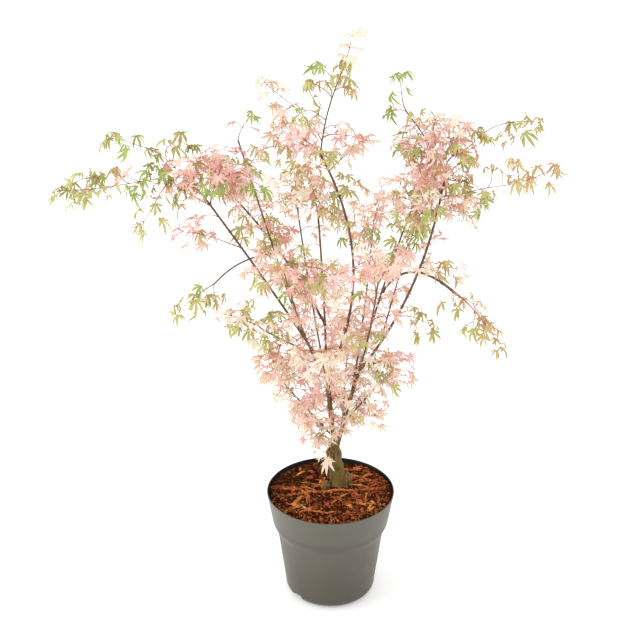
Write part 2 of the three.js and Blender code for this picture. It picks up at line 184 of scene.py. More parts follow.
# %% [markdown]
# Twigs, leaf stalks, fibres and limbs are all tubes. A curve object with a bevel could draw each one, but a
# thousand curves are slow to convert, so one helper sweeps many tubes at once. A limb is the same tube with
# a radius of its own at every ring and side, and noise made of sine waves roughens it.

# %% Many tubes at once
def tubes(lines, radii, sides, flat=1.0):
    """Closed round tubes along lines (n, rings, 3), with radii (n, rings) or (n, rings, sides).

    Each ring stands across its line: radius times (cos, sin) of the turn round it. flat squeezes the
    second direction, which makes a tube into a strip. A point at each end closes the tube.
    """
    lines = np.asarray(lines, float)
    count, rings, _ = lines.shape
    tangents = unit(np.gradient(lines, axis=1))
    chord = unit(lines[:, -1] - lines[:, 0])
    aside = np.where(np.abs(chord[:, 2:]) < 0.9, UP, np.array([1.0, 0.0, 0.0]))
    first = unit(np.cross(aside[:, None, :], tangents))
    second = np.cross(tangents, first) * flat
    turn = headings_of(sides)
    radii = np.asarray(radii, float)
    radii = radii[:, :, None] if radii.ndim == 2 else radii
    out = first[:, :, None] * np.cos(turn)[:, None] + second[:, :, None] * np.sin(turn)[:, None]
    walls = lines[:, :, None] + radii[..., None] * out
    ends = lines[:, [0, -1]]
    points = np.concatenate([walls.reshape(count, -1, 3), ends], axis=1)
    foot = fan(rings * sides, 0, sides, reverse=True)
    tip = fan(rings * sides + 1, (rings - 1) * sides, sides)
    step = (np.arange(count) * points.shape[1])[:, None, None]
    quads = (grid_faces(rings, sides, around=True)[None] + step).reshape(-1, 4)
    caps = (np.concatenate([foot, tip])[None] + step).reshape(-1, 3)
    return points.reshape(-1, 3), [quads, caps]


def joined(parts):
    """Several (points, faces) pairs as one, with the point numbers moved on."""
    start = 0
    points, quads, triangles = [], [], []
    for part_points, part_faces in parts:
        for face in part_faces:
            (quads if face.shape[1] == 4 else triangles).append(face + start)
        points.append(part_points)
        start += len(part_points)
    return np.concatenate(points), [np.concatenate(kind) for kind in (quads, triangles) if kind]


def waves(points, size, seed, count=7):
    """Smooth noise from -1 to 1 with lumps about as big as size: a mean of sines that run every way."""
    draw = np.random.default_rng(seed)
    runs = unit(draw.normal(size=(count, 3))) * draw.uniform(0.7, 1.6, (count, 1)) * 2 * math.pi / size
    phases = draw.uniform(0, 2 * math.pi, count)
    return np.sin(np.asarray(points) @ runs.T + phases).mean(-1) * math.sqrt(count) / 1.6


def run_along(line):
    """How far each point of a line lies along it from its first."""
    return np.concatenate([[0], np.linalg.norm(np.diff(line, axis=0), axis=1).cumsum()])


# %% [markdown]
# ## Finishes
# A finish is a material. Its node tree is written as sums: a `Value` stands for one output of a node, and
# `1 - mask` or `grain * 0.4` adds the Math nodes by itself. Patterns read Object coordinates, so they stay
# on the piece in the same size whatever its shape.

# %% A small language for shaders
def linear(red, green, blue):
    """A display colour given as three numbers up to 255, as the linear colour that the shader takes."""
    share = np.array([red, green, blue]) / 255
    return tuple(np.where(share < 0.04045, share / 12.92, ((share + 0.055) / 1.055) ** 2.4)) + (1.0,)


class Value:
    """One output of a shader node that can stand in a sum."""

    def __init__(self, finish, socket):
        self.finish, self.socket = finish, socket

    def maths(self, operation, *terms):
        """A Math node that takes the terms in their order."""
        sockets = dict(enumerate(terms))
        return self.finish.node("ShaderNodeMath", {"operation": operation}, sockets)

    def __add__(self, other):
        return self.maths("ADD", self, other)

    def __sub__(self, other):
        return self.maths("SUBTRACT", self, other)

    def __rsub__(self, other):
        return self.maths("SUBTRACT", other, self)

    def __mul__(self, other):
        return self.maths("MULTIPLY", self, other)

    __radd__ = __add__
    __rmul__ = __mul__


class Finish:
    """A material with one Principled shader. Fixed numbers are set straight on the shader's sockets."""

    def __init__(self, name, colour, roughness, **fixed):
        self.material = bpy.data.materials.new(name)
        self.material.use_nodes = True
        self.tree = self.material.node_tree
        self.shader = self.tree.nodes["Principled BSDF"]
        self.set("Base Color", colour)
        self.set("Roughness", roughness)
        for socket, value in fixed.items():
            self.set(socket.replace("_", " "), value)

    def put(self, value, socket):
        """Links a Value to a socket, or sets the socket to a plain number or colour."""
        if isinstance(value, Value):
            self.tree.links.new(value.socket, socket)
        else:
            socket.default_value = value

    def set(self, socket, value):
        """Links or sets one of the shader's own sockets."""
        self.put(value, self.shader.inputs[socket])

    def node(self, kind, settings=None, sockets=None, output=0):
        """Adds a node: its settings first, a ramp's stops among them, then its sockets."""
        node = self.tree.nodes.new(kind)
        for name, value in (settings or {}).items():
            if name == "stops":
                ramp = node.color_ramp.elements
                for stop, (place, colour) in enumerate(value):
                    element = ramp[stop] if stop < 2 else ramp.new(place)
                    element.position, element.color = place, colour
            else:
                setattr(node, name, value)
        for name, value in (sockets or {}).items():
            self.put(value, node.inputs[name])
        return Value(self, node.outputs[output])

    def place(self, stretch=(1, 1, 1)):
        """Object coordinates, stretched along each axis."""
        at = self.node("ShaderNodeTexCoord", output="Object")
        return self.node("ShaderNodeMapping", {}, {"Vector": at, "Scale": stretch})

    def along(self, axis):
        """How far along X, Y or Z the place is in the object's own frame."""
        at = self.node("ShaderNodeTexCoord", output="Object")
        return self.node("ShaderNodeSeparateXYZ", {}, {"Vector": at}, output=axis)

    def noise(self, scale, detail=3, stretch=(1, 1, 1), roughness=0.55):
        """Cloudy noise from 0 to 1, with scale lumps to the metre."""
        sockets = {"Vector": self.place(stretch), "Scale": scale, "Detail": detail, "Roughness": roughness}
        return self.node("ShaderNodeTexNoise", {}, sockets)

    def step(self, value, low, high):
        """0 below low, 1 above high, and smooth between."""
        sockets = {"Value": value, "From Min": low, "From Max": high}
        return self.node("ShaderNodeMapRange", {"interpolation_type": "SMOOTHSTEP"}, sockets)

    def mix(self, factor, first, second):
        """Two colours mixed."""
        settings = {"data_type": "RGBA"}
        return self.node("ShaderNodeMix", settings, {0: factor, 6: first, 7: second}, output=2)

    def bump(self, height, distance, strength=1.0):
        """Relief from a height."""
        sockets = {"Height": height, "Distance": distance, "Strength": strength}
        self.set("Normal", self.node("ShaderNodeBump", {}, sockets))


print("mid grey as the shader takes it", linear(128, 128, 128))

# %% [markdown]
# ## The pot
# A nursery pot is injection moulded from two plastics: grey-taupe outside, black inside. Its plastic is
# matt with a fine orange-peel skin, darker and browner towards its foot, and paler where it is scuffed. The
# corner under its shoulder is darker too, as painted shade. A scanned image could carry such wear and
# shade. Noise in the shader does it without one, and stays sharp however near one looks.

# %% The pot's finishes
def plastic(name, colour, low_and_shade_tone, scuffed, roughness):
    """Moulded plastic: faint clouds, a fine orange-peel relief, and dusty scuffs that turn it paler.

    It is darker and browner towards its foot, and painted shade darkens the corner under its shoulder.
    """
    finish = Finish(name, colour, roughness, IOR=1.47)
    clouds = finish.noise(28, 4)
    scratches = finish.noise(90, 5, (1, 1, 6), 0.7)
    scuffs = finish.step(scratches, 0.56, 0.74) * finish.step(clouds, 0.42, 0.62) * 0.3
    height = finish.along("Z")
    # darker and browner towards the foot, with faint clouds
    low_tint = (1 - finish.step(height, 0, 170 * MM)) * 0.8 + (clouds - 0.5) * 0.3
    # painted shade: a darker band in the corner under the shoulder
    corner = finish.step(height, 100 * MM, 114 * MM) * (1 - finish.step(height, 119 * MM, 131 * MM))
    body = finish.mix(low_tint + corner * 0.5, colour, low_and_shade_tone)
    finish.set("Base Color", finish.mix(scuffs, body, scuffed))
    finish.set("Roughness", clouds * 0.16 + (roughness - 0.08) + scuffs * 0.25)
    finish.bump(finish.noise(1500, 2), 0.05 * MM, 0.35)
    return finish


# Each plastic's second tone is the darker one used towards the foot and for the painted shade under the
# shoulder.
TAUPE = (linear(94, 92, 80), linear(72, 65, 52), linear(112, 108, 97))
BLACK = (linear(22, 21, 20), linear(30, 24, 18), linear(48, 44, 40))
pot_outside = plastic("pot_taupe_plastic", *TAUPE, 0.42)
pot_inside = plastic("pot_black_plastic", *BLACK, 0.5)
print("plastics:", pot_outside.material.name, pot_inside.material.name)

# %% [markdown]
# The pot is a turned shape, so its surface is a function of two parameters: how far along the profile, and
# the heading round the axis. A Screw modifier would turn it as well, but in an array the two drain notches
# and the mould's short seam below the collar are only small terms added to the radius. The profile follows
# the CAD pot, with its corners softened as a mould leaves them.

# %% The pot's profile
pot_low, pot_high = (np.array(corner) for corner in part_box("pot"))
POT_TOP = pot_high[2]
RIM_RADIUS = pot_high[0]
COLLAR_FOOT = (RIM_RADIUS - 8.7 * MM, POT_TOP - 51 * MM)
SHOULDER_FOOT = (RIM_RADIUS - 15.5 * MM, POT_TOP - 64 * MM)
FOOT_RADIUS = RIM_RADIUS - 27.5 * MM
FOOT_ROUNDING = 15 * MM
WALL = 1.7 * MM
LIP_HEIGHT = 1.2 * MM
FLOOR_HEIGHT = 3 * MM


def outer_radius(height):
    """The pot's outer radius at a height: straight lines between its rings, softened over 5 mm or so."""
    heights = np.linspace(0, POT_TOP, 171)
    rings = [FOOT_ROUNDING, SHOULDER_FOOT[1], COLLAR_FOOT[1], POT_TOP]
    radii = np.interp(heights, rings, [FOOT_RADIUS, SHOULDER_FOOT[0], COLLAR_FOOT[0], RIM_RADIUS])
    kernel = np.exp(-0.5 * (np.arange(-9, 10) / 2.4) ** 2)
    padded = np.pad(radii, 9, mode="reflect", reflect_type="odd")
    return np.interp(height, heights, np.convolve(padded, kernel / kernel.sum(), mode="valid"))


def pot_profile():
    """The wall's outline as (radius, height) rows, from the underside's middle to the floor's.

    The second value is the number of rows that are taupe, up to the middle of the lip.
    """
    corner = np.linspace(0, math.pi / 2, 12)
    base = np.stack([np.linspace(0.5 * MM, FOOT_RADIUS - FOOT_ROUNDING, 10), np.zeros(10)], -1)
    round_foot = np.stack([
        outer_radius(FOOT_ROUNDING) - FOOT_ROUNDING * (1 - np.sin(corner)),
        FOOT_ROUNDING * (1 - np.cos(corner)),
    ], -1)
    up = np.linspace(FOOT_ROUNDING, POT_TOP - LIP_HEIGHT, 110)[1:]
    outside = np.stack([outer_radius(up), up], -1)
    lip_turn = np.linspace(0, math.pi, 9)[1:]
    lip = np.stack([
        RIM_RADIUS - WALL / 2 + WALL / 2 * np.cos(lip_turn),
        POT_TOP - LIP_HEIGHT + LIP_HEIGHT * np.sin(lip_turn),
    ], -1)
    down = np.linspace(POT_TOP - LIP_HEIGHT, FOOT_ROUNDING + 6 * MM, 60)[1:]
    inside = np.stack([outer_radius(down) - WALL, down], -1)
    floor = np.stack([np.linspace(FOOT_RADIUS - 20 * MM, 0.5 * MM, 8), np.full(8, FLOOR_HEIGHT)], -1)
    outer = len(base) + len(round_foot) + len(outside) + 4
    return np.concatenate([base, round_foot[1:], outside, lip, inside, floor]), outer


print("pot from", pot_low, "to", pot_high, "with a profile of", len(pot_profile()[0]), "points")

# %% [markdown]
# A drain notch is a soft-edged window in heading and height. Inside it the foot's rounding moves in by 8 mm
# and up by 4 mm, which bares a gap under the pot. The seam is a short groove with a bell-shaped section,
# exp(-(distance / width)^2). Cutting with a boolean would give harder edges than moulded plastic has.

# %% The pot's surface
POT_SIDES = 192
NOTCH_HEADINGS = (39, 219)
NOTCH_HALF_WIDTH = 9.5
NOTCH_HEIGHT = 11 * MM
NOTCH_DEPTH = 8 * MM
NOTCH_LIFT = 4 * MM
NOTCH_SOFTNESS = 1.2
SEAM_HEIGHT = 101 * MM
SEAM_HEADING = 262
SEAM_DEPTH = 0.35 * MM
GROOVE_DEPTH = 0.12 * MM


def notched(radius, height, heading, outside):
    """The radius and height of every point after the drain notches push the foot's rounding in and up."""
    for notch in NOTCH_HEADINGS:
        off = np.degrees(np.abs(np.angle(np.exp(1j * (heading - math.radians(notch))))))
        near = np.clip((NOTCH_HALF_WIDTH - off) / NOTCH_SOFTNESS, 0, 1)[None, :]
        low = np.clip((NOTCH_HEIGHT - height) / (NOTCH_SOFTNESS * MM), 0, 1)
        low = low * (radius > FOOT_RADIUS - 20 * MM) * outside
        radius = radius - near * low * NOTCH_DEPTH
        height = height + near * low * NOTCH_LIFT
    return radius, height


def make_pot():
    """The profile carried round: (radius cos, radius sin, height), pushed in at notches, seam and groove."""
    profile, outer = pot_profile()
    sides, rows = POT_SIDES, len(profile)
    heading = headings_of(sides)
    outside = (np.arange(rows) < outer)[:, None]
    radius, height = (np.repeat(profile[:, [column]], sides, 1) for column in (0, 1))
    radius, height = notched(radius, height, heading, outside)
    seam = np.exp(-(((height - SEAM_HEIGHT) / (0.5 * MM)) ** 2)) * outside
    front = np.clip(1.6 - np.degrees(np.abs(heading - math.radians(SEAM_HEADING))) / 10, 0, 1)[None, :]
    groove = np.exp(-(((height - COLLAR_FOOT[1] - 2 * MM) / (1.2 * MM)) ** 2)) * outside
    radius = radius - SEAM_DEPTH * seam * front - GROOVE_DEPTH * groove
    points = np.stack([radius * np.cos(heading), radius * np.sin(heading), height], -1).reshape(-1, 3)
    ends = np.array([[0, 0, profile[0, 1]], [0, 0, profile[-1, 1]]])
    base_cap = fan(rows * sides, 0, sides, reverse=True)
    floor_cap = fan(rows * sides + 1, (rows - 1) * sides, sides)
    black = np.repeat(np.arange(rows - 1) >= outer - 1, sides)
    pot = new_piece(
        "nursery_pot",
        np.concatenate([points, ends]),
        [grid_faces(rows, sides, around=True), base_cap, floor_cap],
        [pot_outside, pot_inside],
        finish_of_face=np.concatenate([black, np.zeros(sides), np.ones(sides)]),
    )
    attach(pot, "root")
    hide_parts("pot")


make_pot()

# %% [markdown]
# ## The potting mix
# Potting mix is not a brown disc. It is a lumpy bed of dark crumbs with bark nuggets, shreds of orange coir
# and a few pale bits on top. Each kind has a finish of two tones, so that the bed reads as many small
# things and not as one surface with a pattern. Painted shade makes it darker at the back left.

# %% The mix's finishes
def earth(name, dark, light, lumps):
    """Damp organic matter: two tones in fine clouds, darker at the back left as painted shade, with a rough
    crumbly relief.
    """
    finish = Finish(name, dark, 0.9, IOR=1.2)
    clouds = finish.noise(lumps, 6, roughness=0.7)
    # painted shade: every tone is mixed darker towards the back left
    back_left_shade = finish.step(finish.along("Y") * 0.8 - finish.along("X") * 0.6, 15 * MM, 60 * MM)
    crumb = finish.mix(finish.step(clouds, 0.35, 0.68), dark, light)
    finish.set("Base Color", finish.mix(back_left_shade * 0.6, crumb, linear(44, 20, 8)))
    finish.bump(finish.noise(lumps * 3, 4), 0.8 * MM, 0.8)
    return finish


EARTHS = {
    "dark": earth("mix_dark_peat", linear(36, 10, 2), linear(92, 40, 14), 300),
    "brown": earth("mix_brown_bark", linear(104, 50, 18), linear(176, 108, 60), 260),
    "rust": earth("mix_rust_bark", linear(154, 72, 22), linear(216, 132, 64), 260),
    "pale": earth("mix_pale_bits", linear(180, 138, 88), linear(232, 200, 150), 200),
}


def fibre(name, dark, light):
    """Coir and bark shreds: streaked along their length by fine noise, with a fibrous relief."""
    finish = Finish(name, dark, 0.7, IOR=1.3)
    finish.set("Base Color", finish.mix(finish.step(finish.noise(240, 4), 0.35, 0.65), dark, light))
    finish.bump(finish.noise(2200, 3), 0.2 * MM, 0.5)
    return finish


FIBRES = {
    "orange": fibre("coir_orange", linear(186, 98, 34), linear(234, 160, 84)),
    "red": fibre("coir_red", linear(136, 50, 18), linear(204, 98, 54)),
}
print("mix colours:", *EARTHS, *FIBRES)

# %% [markdown]
# Under the crumbs lies a bed. It could be a flat disc with a displacement modifier. A polar grid whose
# height is a function of x and y does the same in one step, and the same function then says how high every
# crumb and fibre has to lie.

# %% The bed
soil_low, soil_high = (np.array(corner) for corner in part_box("soil"))
SOIL_TOP = trunk_low
SOIL_EDGE = SOIL_TOP - 4 * MM
BED_DEPTH = 30 * MM
BED_RADIUS = outer_radius(SOIL_EDGE) - WALL - 0.2 * MM
print("soil from", soil_low, "to", soil_high, "in a pot", round(2 * BED_RADIUS / MM, 1), "mm wide inside")


def bed_height(x, y):
    """The bed's height: a low mound round the trunk that falls off to the wall, with swells and lumps."""
    flat = np.stack([x, y, np.zeros_like(x)], -1)
    away = np.hypot(x - trunk_foot[0], y - trunk_foot[1])
    mound = (SOIL_TOP - SOIL_EDGE) * np.exp(-((away / (60 * MM)) ** 2))
    swell = 1.0 * MM * waves(flat, 60 * MM, 3)
    return SOIL_EDGE - 1.5 * MM + mound + swell + 0.8 * MM * waves(flat, 9 * MM, 4)


def make_bed():
    """A polar grid: each point stands at (radius, heading) with bed_height, and its rim is turned down."""
    rings, sides = 80, 200
    radius = np.linspace(0.4 * MM, BED_RADIUS, rings)[:, None]
    heading = headings_of(sides)[None, :]
    x, y = radius * np.cos(heading), radius * np.sin(heading)
    top = np.stack([x, y, bed_height(x, y)], -1)
    under = SOIL_EDGE - BED_DEPTH
    wall = np.stack([x[-1], y[-1], np.full(sides, under)], -1)[None] * [0.93, 0.93, 1]
    points = np.concatenate([top, wall]).reshape(-1, 3)
    ends = np.array([[0, 0, top[0, :, 2].mean()], [0, 0, under]])
    caps = [fan(len(points), 0, sides), fan(len(points) + 1, rings * sides, sides, reverse=True)]
    quads = grid_faces(rings + 1, sides, around=True)[:, ::-1]
    bed = new_piece("potting_mix_bed", np.concatenate([points, ends]), [quads, *caps], [EARTHS["dark"]])
    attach(bed, "root")
    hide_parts("soil")


make_bed()

# %% [markdown]
# A crumb is a small uneven solid of twenty faces: an icosahedron with its corners dented, squeezed, turned
# at random and set on the bed. A particle system could scatter them. In an array they are one piece per
# colour, they are the same in every run, and none stands through the pot's wall or the trunk.

# %% Crumbs and nuggets
def ball_of_twenty():
    """The twelve points and twenty faces of an icosahedron of radius 1."""
    gold = (1 + math.sqrt(5)) / 2
    points = []
    for turn in range(3):
        for a in (-1, 1):
            for b in (-gold, gold):
                points.append(np.roll([0, a, b], turn))
    points = unit(np.array(points, float))
    near = np.linalg.norm(points[:, None] - points[None], axis=-1) < 1.2
    faces = [(i, j, k) for i in range(12) for j in range(i) for k in range(j)
             if near[i, j] and near[j, k] and near[i, k]]
    faces = np.array(faces)
    corners = points[faces]
    across = np.cross(corners[:, 1] - corners[:, 0], corners[:, 2] - corners[:, 0])
    outward = np.einsum("ij,ij->i", across, corners.mean(1)) > 0
    faces[~outward] = faces[~outward][:, ::-1]
    return points, faces


def random_turns(draw, count):
    """Rotation matrices that face every way evenly."""
    basis, triangular = np.linalg.qr(draw.normal(size=(count, 3, 3)))
    basis = basis * np.sign(np.einsum("nii->ni", triangular))[:, None, :]
    return basis * np.sign(np.linalg.det(basis))[:, None, None]


def crumbs(draw, count, sizes, reach=0.97, flatness=0.6):
    """Uneven little solids that lie on the bed: balls of twenty faces, dented, squeezed and turned.

    Each stands at (radius, heading) with radius the square root of an even draw, so that they lie evenly.
    """
    ball, faces = ball_of_twenty()
    size = draw.uniform(*sizes, (count, 1, 1)) / 2
    dents = draw.uniform(0.65, 1.25, (count, 12, 1))
    narrow, low = draw.uniform(0.5, 0.9, count), draw.uniform(0.35, flatness, count)
    squeeze = np.stack([np.ones(count), narrow, low], -1)
    local = ball[None] * dents * squeeze[:, None, :] * size
    local = np.einsum("nij,npj->npi", random_turns(draw, count), local)
    radius = BED_RADIUS * reach * np.sqrt(draw.uniform(0, 1, count))
    heading = draw.uniform(0, 2 * math.pi, count)
    x, y = radius * np.cos(heading), radius * np.sin(heading)
    inward = np.minimum(1, (BED_RADIUS - 1 * MM) / (radius + size[:, 0, 0]))
    x, y = x * inward, y * inward
    z = bed_height(x, y) + size[:, 0, 0] * draw.uniform(0.05, 0.5, count)
    clear = np.hypot(x - trunk_foot[0], y - trunk_foot[1]) > 13 * MM
    points = local[clear] + np.stack([x, y, z], -1)[clear][:, None]
    step = (np.arange(len(points)) * 12)[:, None, None]
    return points.reshape(-1, 3), [(faces[None] + step).reshape(-1, 3)]


draw = np.random.default_rng(SEED)
for tone, batches in {
    "dark": [(1500, (2.5 * MM, 6.5 * MM)), (110, (6 * MM, 10 * MM))],
    "brown": [(1300, (2.2 * MM, 6 * MM)), (150, (6 * MM, 11 * MM))],
    "rust": [(700, (1.8 * MM, 5 * MM)), (45, (5 * MM, 9 * MM))],
    "pale": [(110, (1.5 * MM, 3.5 * MM)), (7, (5 * MM, 8 * MM))],
}.items():
    points, faces = joined([crumbs(draw, count, sizes) for count, sizes in batches])
    piece = new_piece("potting_mix_" + tone, points, faces, [EARTHS[tone]], smooth=False)
    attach(piece, "root")

# %% [markdown]
# Coir lies on the crumbs in loose bundles of strands. A strand is a thin tube along a shallow arc: a start,
# a heading that turns slowly, and the bed's height under it. Flat slivers of bark are the same tubes, wider
# and squeezed to strips. Hair curves could do it too, but they don't come out as a mesh with faces of its
# own.

# %% Coir strands and slivers
def lying_lines(draw, start, heading, length, turning, lift, steps=12):
    """Arcs that lie on the bed: (n, steps, 3) from starts, headings, lengths and how fast each one turns."""
    share = np.linspace(-0.5, 0.5, steps)[None, :]
    way = heading[:, None] + turning[:, None] * share
    x = start[:, :1] + np.cumsum(np.cos(way), 1) * length[:, None] / steps
    y = start[:, 1:] + np.cumsum(np.sin(way), 1) * length[:, None] / steps
    x, y = x - x.mean(1, keepdims=True) + start[:, :1], y - y.mean(1, keepdims=True) + start[:, 1:]
    inward = np.minimum(1, (BED_RADIUS - 1.5 * MM) / np.hypot(x, y))
    x, y = x * inward, y * inward
    arch = lift[:, None] * (1 - (2 * share) ** 2)
    return np.stack([x, y, bed_height(x, y) + 2.0 * MM + arch], -1)


def bundles(draw, count, strands):
    """Starts, headings, lengths and turnings of coir strands, each a little off its bundle's own."""
    radius = BED_RADIUS * 0.86 * np.sqrt(draw.uniform(0.05, 1, count))
    turn = draw.uniform(0, 2 * math.pi, count)
    middle = np.stack([radius * np.cos(turn), radius * np.sin(turn)], -1)
    middle = middle[np.hypot(*(middle - trunk_foot[:2]).T) > 20 * MM]
    heading = draw.uniform(0, math.pi, len(middle))
    length = draw.uniform(22 * MM, 62 * MM, len(middle))
    turning = draw.normal(0, 0.5, len(middle))
    bundle = (middle, heading, length, turning)
    start, heading, length, turning = (np.repeat(values, strands, 0) for values in bundle)
    total = len(start)
    start = start + draw.normal(0, 1.6 * MM, (total, 2))
    heading = heading + draw.normal(0, 0.13, total)
    return start, heading, length * draw.uniform(0.6, 1, total), turning + draw.normal(0, 0.2, total)


def placed_bundles(draw, rows, strands):
    """Bundles with places of their own: rows of x, y, length in mm and heading in degrees."""
    x, y, length, heading = (np.repeat(column, strands) for column in np.array(rows, float).T)
    total = len(x)
    start = np.stack([x, y], -1) * MM + draw.normal(0, 1.1 * MM, (total, 2))
    heading = np.radians(heading) + draw.normal(0, 0.05, total)
    return start, heading, length * MM * draw.uniform(0.7, 1, total), draw.normal(0, 0.15, total)


def strand_tubes(draw, strands, thinnest, thickest, sides, flat=1.0):
    """Tubes along lying lines, thickest in the middle of each. Widths are in millimetres."""
    width = draw.uniform(thinnest, thickest, (len(strands), 1)) * MM
    bulge = np.sin(np.linspace(0.35, math.pi - 0.35, strands.shape[1]))
    return tubes(strands, width * bulge[None], sides, flat)


# The long shreds: across the middle, down the right, at the left and near the front.
# x, y and length in mm, heading in degrees
LONG_SHREDS = [
    (-34, -6, 78, 8), (12, -2, 64, 4), (-58, 6, 40, 352), (52, -22, 44, 86), (61, 2, 40, 12),
    (-22, -56, 46, 342), (-34, -50, 34, 30), (30, 44, 46, 338), (-48, -26, 36, 60), (58, -40, 30, 70),
    (50, 26, 40, 18), (40, 12, 50, 352), (56, 40, 30, 40), (24, 58, 36, 0),
]
for tone, scattered, placed in (("orange", 11, LONG_SHREDS), ("red", 11, LONG_SHREDS[::2])):
    parts = []
    for start, heading, length, turning in (bundles(draw, scattered, 4), placed_bundles(draw, placed, 8)):
        strands = lying_lines(draw, start, heading, length, turning, draw.uniform(0, 2.4 * MM, len(start)))
        parts.append(strand_tubes(draw, strands, 0.32, 0.7, 5))
    start, heading, length, turning = bundles(draw, 15, 2)
    slivers = lying_lines(draw, start, heading, length * 0.5, turning * 0.3, np.full(len(start), 0.6 * MM))
    parts.append(strand_tubes(draw, slivers, 1.1, 2.6, 6, flat=0.3))
    points, faces = joined(parts)
    fibres = new_piece("coir_" + tone, points, faces, [FIBRES[tone]])
    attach(fibres, "root")

# %% [markdown]
# ## Trunk, stems and boughs
# Each limb is swept along the centre line that was read from its node, from inside its parent to the mass
# that it ends in. Its two radii are read from the node too, and made a fifth slimmer, a share that was
# tuned. The trunk's line is worked out from its two ends, since it is too short and too flared to
# fit a parabola to. What grows from what is a table, because touching solids don't say it.

# %% What grows from what
GROWS_FROM = {
    "stem_left": "trunk",
    "stem_right": "trunk",
    "bough_left_outer": "stem_left",
    "bough_centre": "stem_left",
    "leader": "stem_left",
    "leader_tip": "leader",
    "bough_left_upper": "bough_left_outer",
    "bough_left_middle": "bough_left_outer",
    "bough_left_back": "bough_centre",
    "bough_left_arch": "bough_left_back",
    "bough_left_low": "stem_left",
    "bough_right_outer": "stem_right",
    "shoot_right": "bough_right_outer",
    "bough_right_back": "stem_right",
    "bough_right_inner": "bough_right_outer",
    "bough_right_arch": "bough_right_back",
    "bough_right_low": "stem_right",
    "bough_front_left": "stem_left",
    "bough_front_right": "stem_right",
    "bough_front_low": "stem_left",
    "bough_back_left": "stem_left",
    "bough_back_right": "stem_right",
    "bough_back_low": "stem_right",
}
SLIMMING = 0.8
OVERLAP = 1.3
RING_GAP = 3 * MM


def trunk_line(steps):
    """The trunk's axis: upright at its foot, then a smooth lean to its fork."""
    share = np.linspace(0, 1, steps)[:, None]
    ease = share * share * (3 - 2 * share)
    line = trunk_foot + (trunk_fork - trunk_foot) * [1, 1, 0] * ease
    line[:, 2:] = trunk_foot[2] + (trunk_fork[2] - trunk_foot[2]) * share
    return line


def read_limbs():
    """Every limb's line and radii, foot first. A line starts a little inside its parent."""
    lines = {"trunk": (trunk_line(30), 10 * MM, 9 * MM)}
    for name, parent in GROWS_FROM.items():
        parent_line, *parent_girth = lines[parent]
        arc, foot, tip = fitted_limb(name, parent_line)
        length = np.linalg.norm(on_arc(arc, 1) - on_arc(arc, 0))
        inside = -OVERLAP * max(parent_girth) / length
        steps = max(8, int(length / RING_GAP))
        lines[name] = (on_arc(arc, np.linspace(inside, 1, steps)), foot * SLIMMING, tip * SLIMMING)
    return lines


limbs = read_limbs()
for name, (line, foot, tip) in limbs.items():
    length = run_along(line)[-1] / MM
    print(f"{name}: {length:.0f} mm long, {2 * foot / MM:.1f} to {2 * tip / MM:.1f} mm thick")

# %% [markdown]
# Old bark is furrowed along the limb, with pale pores and an olive bloom of moss. Young bark is smoother
# and redder, and the stalks are almost red. One function makes every bark: noise stretched along the limb
# gives both the furrows' colour and their relief, which a separate image for each could only do with care.

# %% The bark's finishes
def bark(name, dark, light, moss, mossy, ridge, depth):
    """Bark: dark furrows and light ridges along the limb, small pale pores, and moss where it is old.

    Furrows and pores are both noise, with ridge lumps to the metre. mossy says how much moss there is.
    """
    finish = Finish(name, dark, 0.8)
    furrows = finish.noise(ridge, 6, (1, 1, 0.22), 0.65)
    pores = finish.step(finish.noise(ridge * 1.6, 2), 0.62, 0.72)
    wood = finish.mix(finish.step(furrows, 0.32, 0.66), dark, light)
    wood = finish.mix(pores * 0.35, wood, linear(176, 156, 128))
    growth = finish.step(finish.noise(70, 5, roughness=0.7), 0.44, 0.6) * mossy
    finish.set("Base Color", finish.mix(growth, wood, moss))
    finish.set("Roughness", 0.72 + growth * 0.2)
    finish.bump(furrows + pores * 0.3, depth, 0.9)
    return finish


OLD_TONES = (linear(66, 44, 20), linear(142, 108, 56), linear(120, 112, 46))
YOUNG_TONES = (linear(66, 44, 36), linear(124, 92, 72), linear(110, 110, 62))
TWIG_TONES = (linear(120, 66, 50), linear(170, 110, 84), linear(150, 140, 80))
old_bark = bark("old_bark", *OLD_TONES, 0.75, 260, 1.2 * MM)
young_bark = bark("young_bark", *YOUNG_TONES, 0.2, 420, 0.4 * MM)
twig_bark = bark("twig_bark", *TWIG_TONES, 0.25, 500, 0.15 * MM)
stalk_skin = Finish("leaf_stalk_skin", linear(214, 112, 96), 0.5)
stalk_tones = stalk_skin.mix(stalk_skin.noise(60, 2), linear(196, 84, 78), linear(224, 150, 110))
stalk_skin.set("Base Color", stalk_tones)
print("barks:", ", ".join(finish.material.name for finish in (old_bark, young_bark, twig_bark, stalk_skin)))

# %% [markdown]
# The trunk is one tube of many rings. Its radius is a taper, root ridges that spread at the ground, a
# slight flattening at the fork, and two sizes of noise for the bark. It starts a little under the mix and
# closes in a dome inside the fork. Beside its foot stand the stub of a cut shoot and the hump of a root.
# Joining solids with booleans would do too, but tubes that run into one another look the same and keep
# clean faces.

# %% The trunk, its stub and the stems
TRUNK_GIRTH = 10.7 * MM
TRUNK_TOP_GIRTH = 12 * MM
BURIED = 4 * MM
STUB_RADIUS = 9.5 * MM
ROOT_RADIUS = 6.5 * MM


def trunk_girth(heights, headings):
    """The trunk's radius at heights x headings: its taper, and root ridges that spread at the ground."""
    taper = np.interp(heights, [trunk_low, trunk_high], [TRUNK_GIRTH, TRUNK_TOP_GIRTH])[:, None]
    above = (heights - trunk_low)[:, None]
    ridges = 0.55 + 0.3 * np.cos(3 * headings + 0.5) + 0.15 * np.cos(7 * headings)
    spread = 4.5 * MM * np.exp(-np.maximum(above, 0) / (5 * MM)) * ridges
    fork = 0.8 * MM * np.exp(-(((heights - trunk_high) / (14 * MM)) ** 2))[:, None] * np.cos(2 * headings)
    return taper + spread + fork


def limb_surface(line, girth):
    """A tube along one line with its own radius at every ring and side."""
    return tubes(line[None], girth[None], girth.shape[1])


